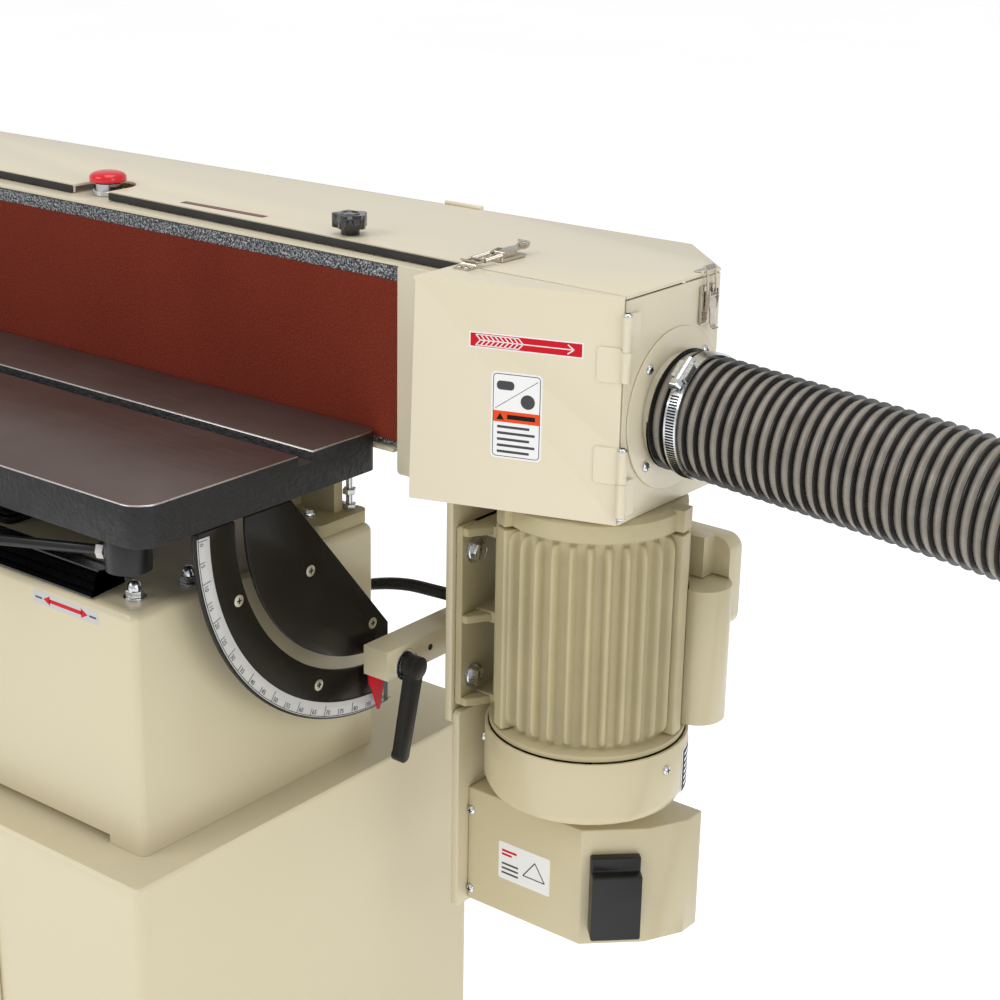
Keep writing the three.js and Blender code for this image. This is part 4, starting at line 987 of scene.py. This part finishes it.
def switch_details():
    fastenings("switch_box_screws", [pan_head((-170.5, 84.2, z), (0, -1, 0), 4.6) for z in (-545, -632)])
    shapes = [(rounded(0, 62, 0, 40, 2), "white_print", 0), (rect(4, 22, 30, 32.4), "red_paint", 1),
              (rect(4, 16, 26, 28.2), "red_paint", 1)]
    triangle = [(30, 12), (44, 30), (56, 12)]
    for start, end in ((0, 1), (1, 2), (0, 2)):
        shapes.append((bar(triangle[start], triangle[end], 1.2), "grey_print", 1))
    for k in range(3):
        shapes.append((rect(4, 24, 6 + 5 * k, 8 + 5 * k), "grey_print", 1))
    decal("switch_label", "head", (-136, 84, -606), (1, 0, 0), UP, shapes)


motor_ribs()
motor_frame()
fan_cover_details()
switch_details()

# ---- tilt quadrant
TILT_Y, TILT_Z = 68.0, -220.0
SCALE_X = -276.0
SCALE_R = 235.9
MARK_R = 235.6
FIGURES_R = 234.0
FIGURE_SIZE = 6.4


def polar(degrees, r):
    a = math.radians(180 + degrees)
    return TILT_Y + r * math.cos(a), TILT_Z + r * math.sin(a)


def scale_marks():
    """A line at every 5 degrees, longer at the tens, and the figures beside them."""
    front = SCALE_X + 0.15
    rim = [polar(v, SCALE_R) for v in range(-4, 95)] + [polar(v, SCALE_R - 0.6) for v in range(94, -5, -1)]
    parts = [slab(rim, "yz", SCALE_X, front)]
    side = math.degrees(0.3 / 235)
    for value in range(0, 91, 5):
        length = 6.5 if value % 10 else 10.5
        mark = [polar(value - side, MARK_R), polar(value + side, MARK_R),
                polar(value + side, MARK_R - length), polar(value - side, MARK_R - length)]
        parts.append(slab(mark, "yz", SCALE_X, front))
        y, z = polar(value + 0.4, FIGURES_R)
        a = math.radians(value)
        parts.append(on_plane(text_mesh(str(value), FIGURE_SIZE), (SCALE_X + 0.08, y, z),
                              (0, math.sin(a), -math.cos(a)), (0, math.cos(a), math.sin(a))))
    put("scale_marks", merge(*parts), "stand", "ink_and_recess_shade", angle=40)


def quadrant_screws():
    parts = []
    head = [(0, 0), (5.6, 0), (5.6, 0.5), (4.8, 0.9), (0, 0.9)]
    for y, z in ((-120, -289), (-27, -288), (59, -368), (-18, -407)):
        parts.append(tint(lathe(head, "x", (-277.1, y, z), 28), 0))
        # Each head's cross recess is a thin raised cross in the second look: painted shade.
        for along, wide in ((2.8, 0.7), (0.7, 2.8)):
            parts.append(tint(slab(rect(y - along, y + along, z - wide, z + wide), "yz", -276.4, -276.05), 1))
    fastenings("quadrant_screws", parts, "stand", ("zinc_dull", "ink_and_recess_shade"))


def clamp_details():
    """The washer and collar under the tilt clamp's hub, and the two holes in the tilt bar, drawn as dark
    discs: painted shade.
    """
    bore, hub = 4.2, (-238, 64, -402)
    plate = lathe(washer(bore, 16, 0, 1.5), "x", hub, 40)
    collar = lathe([(bore, 1.5), (11.5, 1.5), (11.0, 1.8), (bore, 1.8), (bore, 1.5)], "x", hub, 40)
    fastenings("clamp_washer", [plate, collar], looks=["zinc"], angle=30)
    holes = [lathe(disc(3.2, 0, 0.3), "x", (-238, y, -396), 20) for y in (100, 146)]
    put("bar_holes", merge(*holes), "head", "dark", angle=30)


scale_marks()
quadrant_screws()
clamp_details()


# ---- pedestal block and what stands on it
BLOCK_X0, BLOCK_X1, BLOCK_Y0, BLOCK_Y1 = -985, -315, -211, 105
BLOCK_TOP, BLOCK_LOW, PLINTH_LOW = -285, -514.2, -522.7
BLOCK_EDGE = 9.0
BLOCK_CORNER = 8
TOE = 45
TOE_RECESS = 14


def base_block():
    """The block with its rounded top edge, and the plinth under it, cut back between its front toes."""
    rows = [(0.0, BLOCK_LOW)]
    for k in range(9):
        a = math.pi / 2 * k / 8
        rows.append((BLOCK_EDGE * (1 - math.cos(a)), BLOCK_TOP - BLOCK_EDGE + BLOCK_EDGE * math.sin(a)))
    bm = bmesh.new()
    rings = []
    for inset, z in rows:
        points = rounded(BLOCK_X0 + inset, BLOCK_X1 - inset, BLOCK_Y0 + inset, BLOCK_Y1 - inset,
                         BLOCK_CORNER - inset * 0.2, 8)
        rings.append([bm.verts.new((x, y, z)) for x, y in points])
    join_rings(bm, rings)
    left, right, recess = BLOCK_X0 + TOE, BLOCK_X1 - TOE, BLOCK_Y0 + TOE_RECESS
    plinth = [(left, BLOCK_Y0), (left, recess), (right, recess), (right, BLOCK_Y0)]
    plinth += rounded(BLOCK_X0, BLOCK_X1, BLOCK_Y0, BLOCK_Y1, BLOCK_CORNER, 8)
    whole = merge(bm, slab(plinth, "xy", PLINTH_LOW, BLOCK_LOW + 0.01))
    put("base_block_skin", whole, "stand", "cream_stand", ["base_block"], angle=40)


def block_details():
    decal("travel_label", "stand", (-448, BLOCK_Y0, -303), (1, 0, 0), UP,
          [(rounded(0, 88, -4, 9, 1), "silver_print", 0), (rect(22, 66, 0.6, 4.4), "red_paint", 1),
           ([(14, 2.5), (23, -2.2), (23, 7.2)], "red_paint", 1),
           ([(74, 2.5), (65, 7.2), (65, -2.2)], "red_paint", 1),
           (rect(3, 12, 1.6, 3.4), "grey_print", 1), (rect(76, 85, 1.6, 3.4), "grey_print", 1)])
    nuts = [acorn_nut((x, y, -284.9)) for x, y in ((-345, -181), (-335, -125), (-955, -181), (-965, -125))]
    fastenings("block_acorn_nuts", nuts, "stand", ["zinc"], 28)


def trunnion_bolts():
    parts = []
    for x, side in ((-366, 1), (-934, -1)):
        parts.append(hex_bolt((x + 14 * side, 50, -271.8), "z", 7.0, 4.5, 9.5))
        stud_x = x + 32 * side
        parts.append(tint(rod((stud_x, 90, -272), (stud_x, 90, -238), 3.6), 0))
        for z in (-271.6, -256):
            parts.append(tint(hex_nut((stud_x, 90, z), "z", 7.0, 6.0), 0))
    fastenings("trunnion_bolts", parts, "stand", ["zinc"], 28)


def way_cover():
    """The folded cover along the block's front edge, under the table: long pleats in a zigzag."""
    folds = [(-209, -283.4), (-168, -280.4), (-206.5, -276.6), (-170, -272.6), (-204, -268.8), (-174, -264.8),
             (-199, -261.4)]
    put("way_cover", slab(strip(folds, 1.6), "yz", -900, -371), "stand", "bellows", angle=20)


base_block()
block_details()
trunnion_bolts()
way_cover()


# ---- table
GROUND_Z = -181
TOP_EDGE_Z = -171


def table_skin():
    """Ground faces on top, rough casting elsewhere, and round the top a bevel in lighter metal, a painted
    highlight.
    """
    def cast(bm):
        for face in bm.faces:
            ground = face.normal.z > 0.95 and face.calc_center_median().z > GROUND_Z
            face.material_index = 0 if ground else 1
        edges = [e for e in bm.edges if len(e.link_faces) == 2 and e.calc_face_angle(0) > 0.5
                 and all(v.co.z > TOP_EDGE_Z for v in e.verts)]
        bmesh.ops.bevel(bm, geom=edges, offset=1.1, segments=2, profile=0.5, affect="EDGES", material=2)
    dress("table_top", None, 1.6, 2, 50, cast, ["iron", "cast_black", "edge_highlight"])


def lock_rod():
    """The table lock's bright rod, with its nut at the hub."""
    hub = Vector((-343, -188, -240))
    a = math.radians(205)
    out = Vector((math.cos(a), math.sin(a), 0))
    rodding = merge(rod(hub + out * 20, hub + out * 120, 4.2), hex_nut(hub + out * 21, out, 7.5, 8))
    put("table_lock_rod", rodding, BODY_OF["table_lock_lever"], "steel", angle=28)


# ---- top: stop button, knob, strip
STOP_X, STOP_Y = -688, 109
TEETH = 40


def e_stop_skin():
    at, bore = (STOP_X, STOP_Y, 0), 9
    rim = [(bore, -9.2), (16.4, -9.2), (16.4, -5.2), (15.8, -4.5), (bore, -4.5), (bore, -9.2)]
    neck = [(bore, -4.5), (14.6, -4.5), (14.6, 2.6), (13.4, 4.0), (bore, 4.0), (bore, -4.5)]
    collar = [tint(lathe(rim, "z", at, 60), 1), tint(lathe(neck, "z", at, 60), 0)]
    for k in range(TEETH):
        tooth = slab(rect(15.9, 16.9, -0.55, 0.55), "xy", -9, -5.4)
        collar.append(tint(turned(tooth, STOP_X, STOP_Y, 2 * math.pi * k / TEETH), 1))
    put("e_stop_collar_skin", merge(*collar), "head", None, ["e_stop_collar"],
        looks=["chrome", "zinc"], angle=35)
    dome = [(0, -3.4), (8.6, -3.4), (8.6, 9), (15.3, 9), (15.3, 4.4), (18.6, 4.4), (19.3, 5.0), (19.4, 6.2),
            (19.4, 8.6), (18.9, 10.4), (17.6, 12.0), (15.2, 13.4), (11.6, 14.5), (6.5, 15.2), (0, 15.5)]
    put("e_stop_button_skin", lathe(dome, "z", at, 72), BODY_OF["e_stop_button"], "red",
        ["e_stop_button"], angle=50)


def knob_details():
    low, high = 19.0, 19.9
    ring = lathe([(0, high), (7.6, high), (8.2, 20.6), (9.4, 20.7), (9.8, high), (9.8, low), (0, low)],
                 "z", (-336, 96, 0), 40)
    put("star_knob_ring", ring, BODY_OF["lid_knob"], "black_gloss", angle=40)


def lid_strip():
    decal("lid_strip", BODY_OF["lid"], (-564, 98, 0), (0.9997, 0.0177, 0), (-0.0177, 0.9997, 0),
          [(rect(0, 113, -4.5, 4.5), "plum_print", 0), (rect(4, 109, -1.0, 1.0), "plum_light", 1)])


table_skin()
lock_rod()
e_stop_skin()
knob_details()
lid_strip()

# ---- the other CAD nodes, as they are
# For each look, its nodes, and how far their edges are rounded, in millimetres.
PLAIN = {
    # cream_stand, motor and cover are the cream enamel darkened as painted shade.
    "cream_stand": {"stand_cabinet": 2.5, "stand_door": 1.2, "motor_mount_plate": 1.0, "switch_plate": 1.0,
        "tilt_bar": 1.0},
    "black_plastic": {"stand_door_knob": 1.5, "table_lock_lever": 1.2, "lift_handwheel": 1.5,
        "handwheel_handle": 2.0, "fan_cover_grille": 0.4, "motor_fan": 0.8, "tension_lever": 1.5,
        "tracking_knob": 2.0, "switch_paddle": 2.0, "clamp_lever": 2.0},
    "rubber": {"foot_front_left": 1, "foot_rear_left": 1, "foot_front_right": 1, "foot_rear_right": 1,
        "lid_seal_left": 0.3, "lid_seal_right": 0.3},
    "motor": {"trunnion_bracket_right": 2.5, "trunnion_bracket_left": 2.5, "motor_end_bell": 1.5},
    "black_paint": {"tilt_quadrant": 0.7},
    "scale": {"angle_scale": 0.1},
    "cast_black": {"table_saddle": 1.5, "idler_bracket": 1.2},
    "steel": {"lift_post": 1.0},
    "bellows": {"lift_bellows": 1.0},
    "cream": {"head_frame": 0.8, "side_panel": 0.7, "dust_port": 0.5, "belt_post": 0.8, "idler_guard": 0.7,
        "lid_hinge_left": 0.5, "lid_hinge_right": 0.5, "door_hinge_upper": 0.5, "door_hinge_lower": 0.5,
        "lid": 0.8, "guard_door": 1.0},
    "abrasive": {"sanding_belt": 0.0},
    "graphite": {"graphite_pad": 0.0},
    "cover": {"fan_cover": 0.8, "capacitor_cover": 3.0, "junction_box": 4.0, "switch_box": 1.5},
    "red_paint": {"tilt_pointer": 0.2},
    "aluminium": {"drive_drum": 1.0, "idler_drum": 1.0},
    "black_gloss": {"lid_knob": 1.6},
}
for look, nodes in PLAIN.items():
    for node, bevel in nodes.items():
        dress(node, look, bevel)


# ---- floor and light
FLOOR_HALF_M = 400
FLOOR_GLOW = 0.44
WORLD_STRENGTH = 0.60
LAMPS = {
    "key": {"at": (-1.4, -3.0, 3.4), "target": (0.2, 0.1, 0.9), "size": (2.4, 1.6), "power": 48},
    "top": {"at": (0.4, 0.2, 4.4), "target": (0.3, 0.1, 1.0), "size": (3.0, 2.0), "power": 46},
    "right": {"at": (3.4, -0.5, 1.9), "target": (0.6, 0.1, 0.9), "size": (1.6, 1.6), "power": 20},
}


def make_stage():
    bm = bmesh.new()
    bmesh.ops.create_grid(bm, x_segments=1, y_segments=1, size=FLOOR_HALF_M)
    mesh = bpy.data.meshes.new("floor")
    bm.to_mesh(mesh)
    bm.free()
    n = Nodes("floor_paper")
    base = n.colours(n.noise(0.6, 2), [(0.3, grey(0.90)), (0.7, grey(0.93))])
    mesh.materials.append(n.finish(Base_Color=base, Roughness=0.9, Specular_IOR_Level=0.1,
                                   Emission_Color=(1, 1, 1, 1), Emission_Strength=FLOOR_GLOW))
    floor = bpy.data.objects.new("floor", mesh)
    scene.collection.objects.link(floor)
    world = bpy.data.worlds.new("studio")
    scene.world = world
    world.use_nodes = True
    background = world.node_tree.nodes["Background"]
    background.inputs["Color"].default_value = (1, 1, 1, 1)
    background.inputs["Strength"].default_value = WORLD_STRENGTH


def area_light(name, at, target, size, power):
    data = bpy.data.lights.new(name, "AREA")
    data.shape = "RECTANGLE"
    data.size, data.size_y = size
    data.energy = power
    light = bpy.data.objects.new(name, data)
    scene.collection.objects.link(light)
    light.location = at
    light.rotation_mode = "QUATERNION"
    light.rotation_quaternion = (Vector(target) - Vector(at)).to_track_quat("-Z", "Y")


make_stage()
for name, lamp in LAMPS.items():
    area_light(name, **lamp)
scene.view_settings.view_transform = "Standard"
scene.view_settings.look = "None"
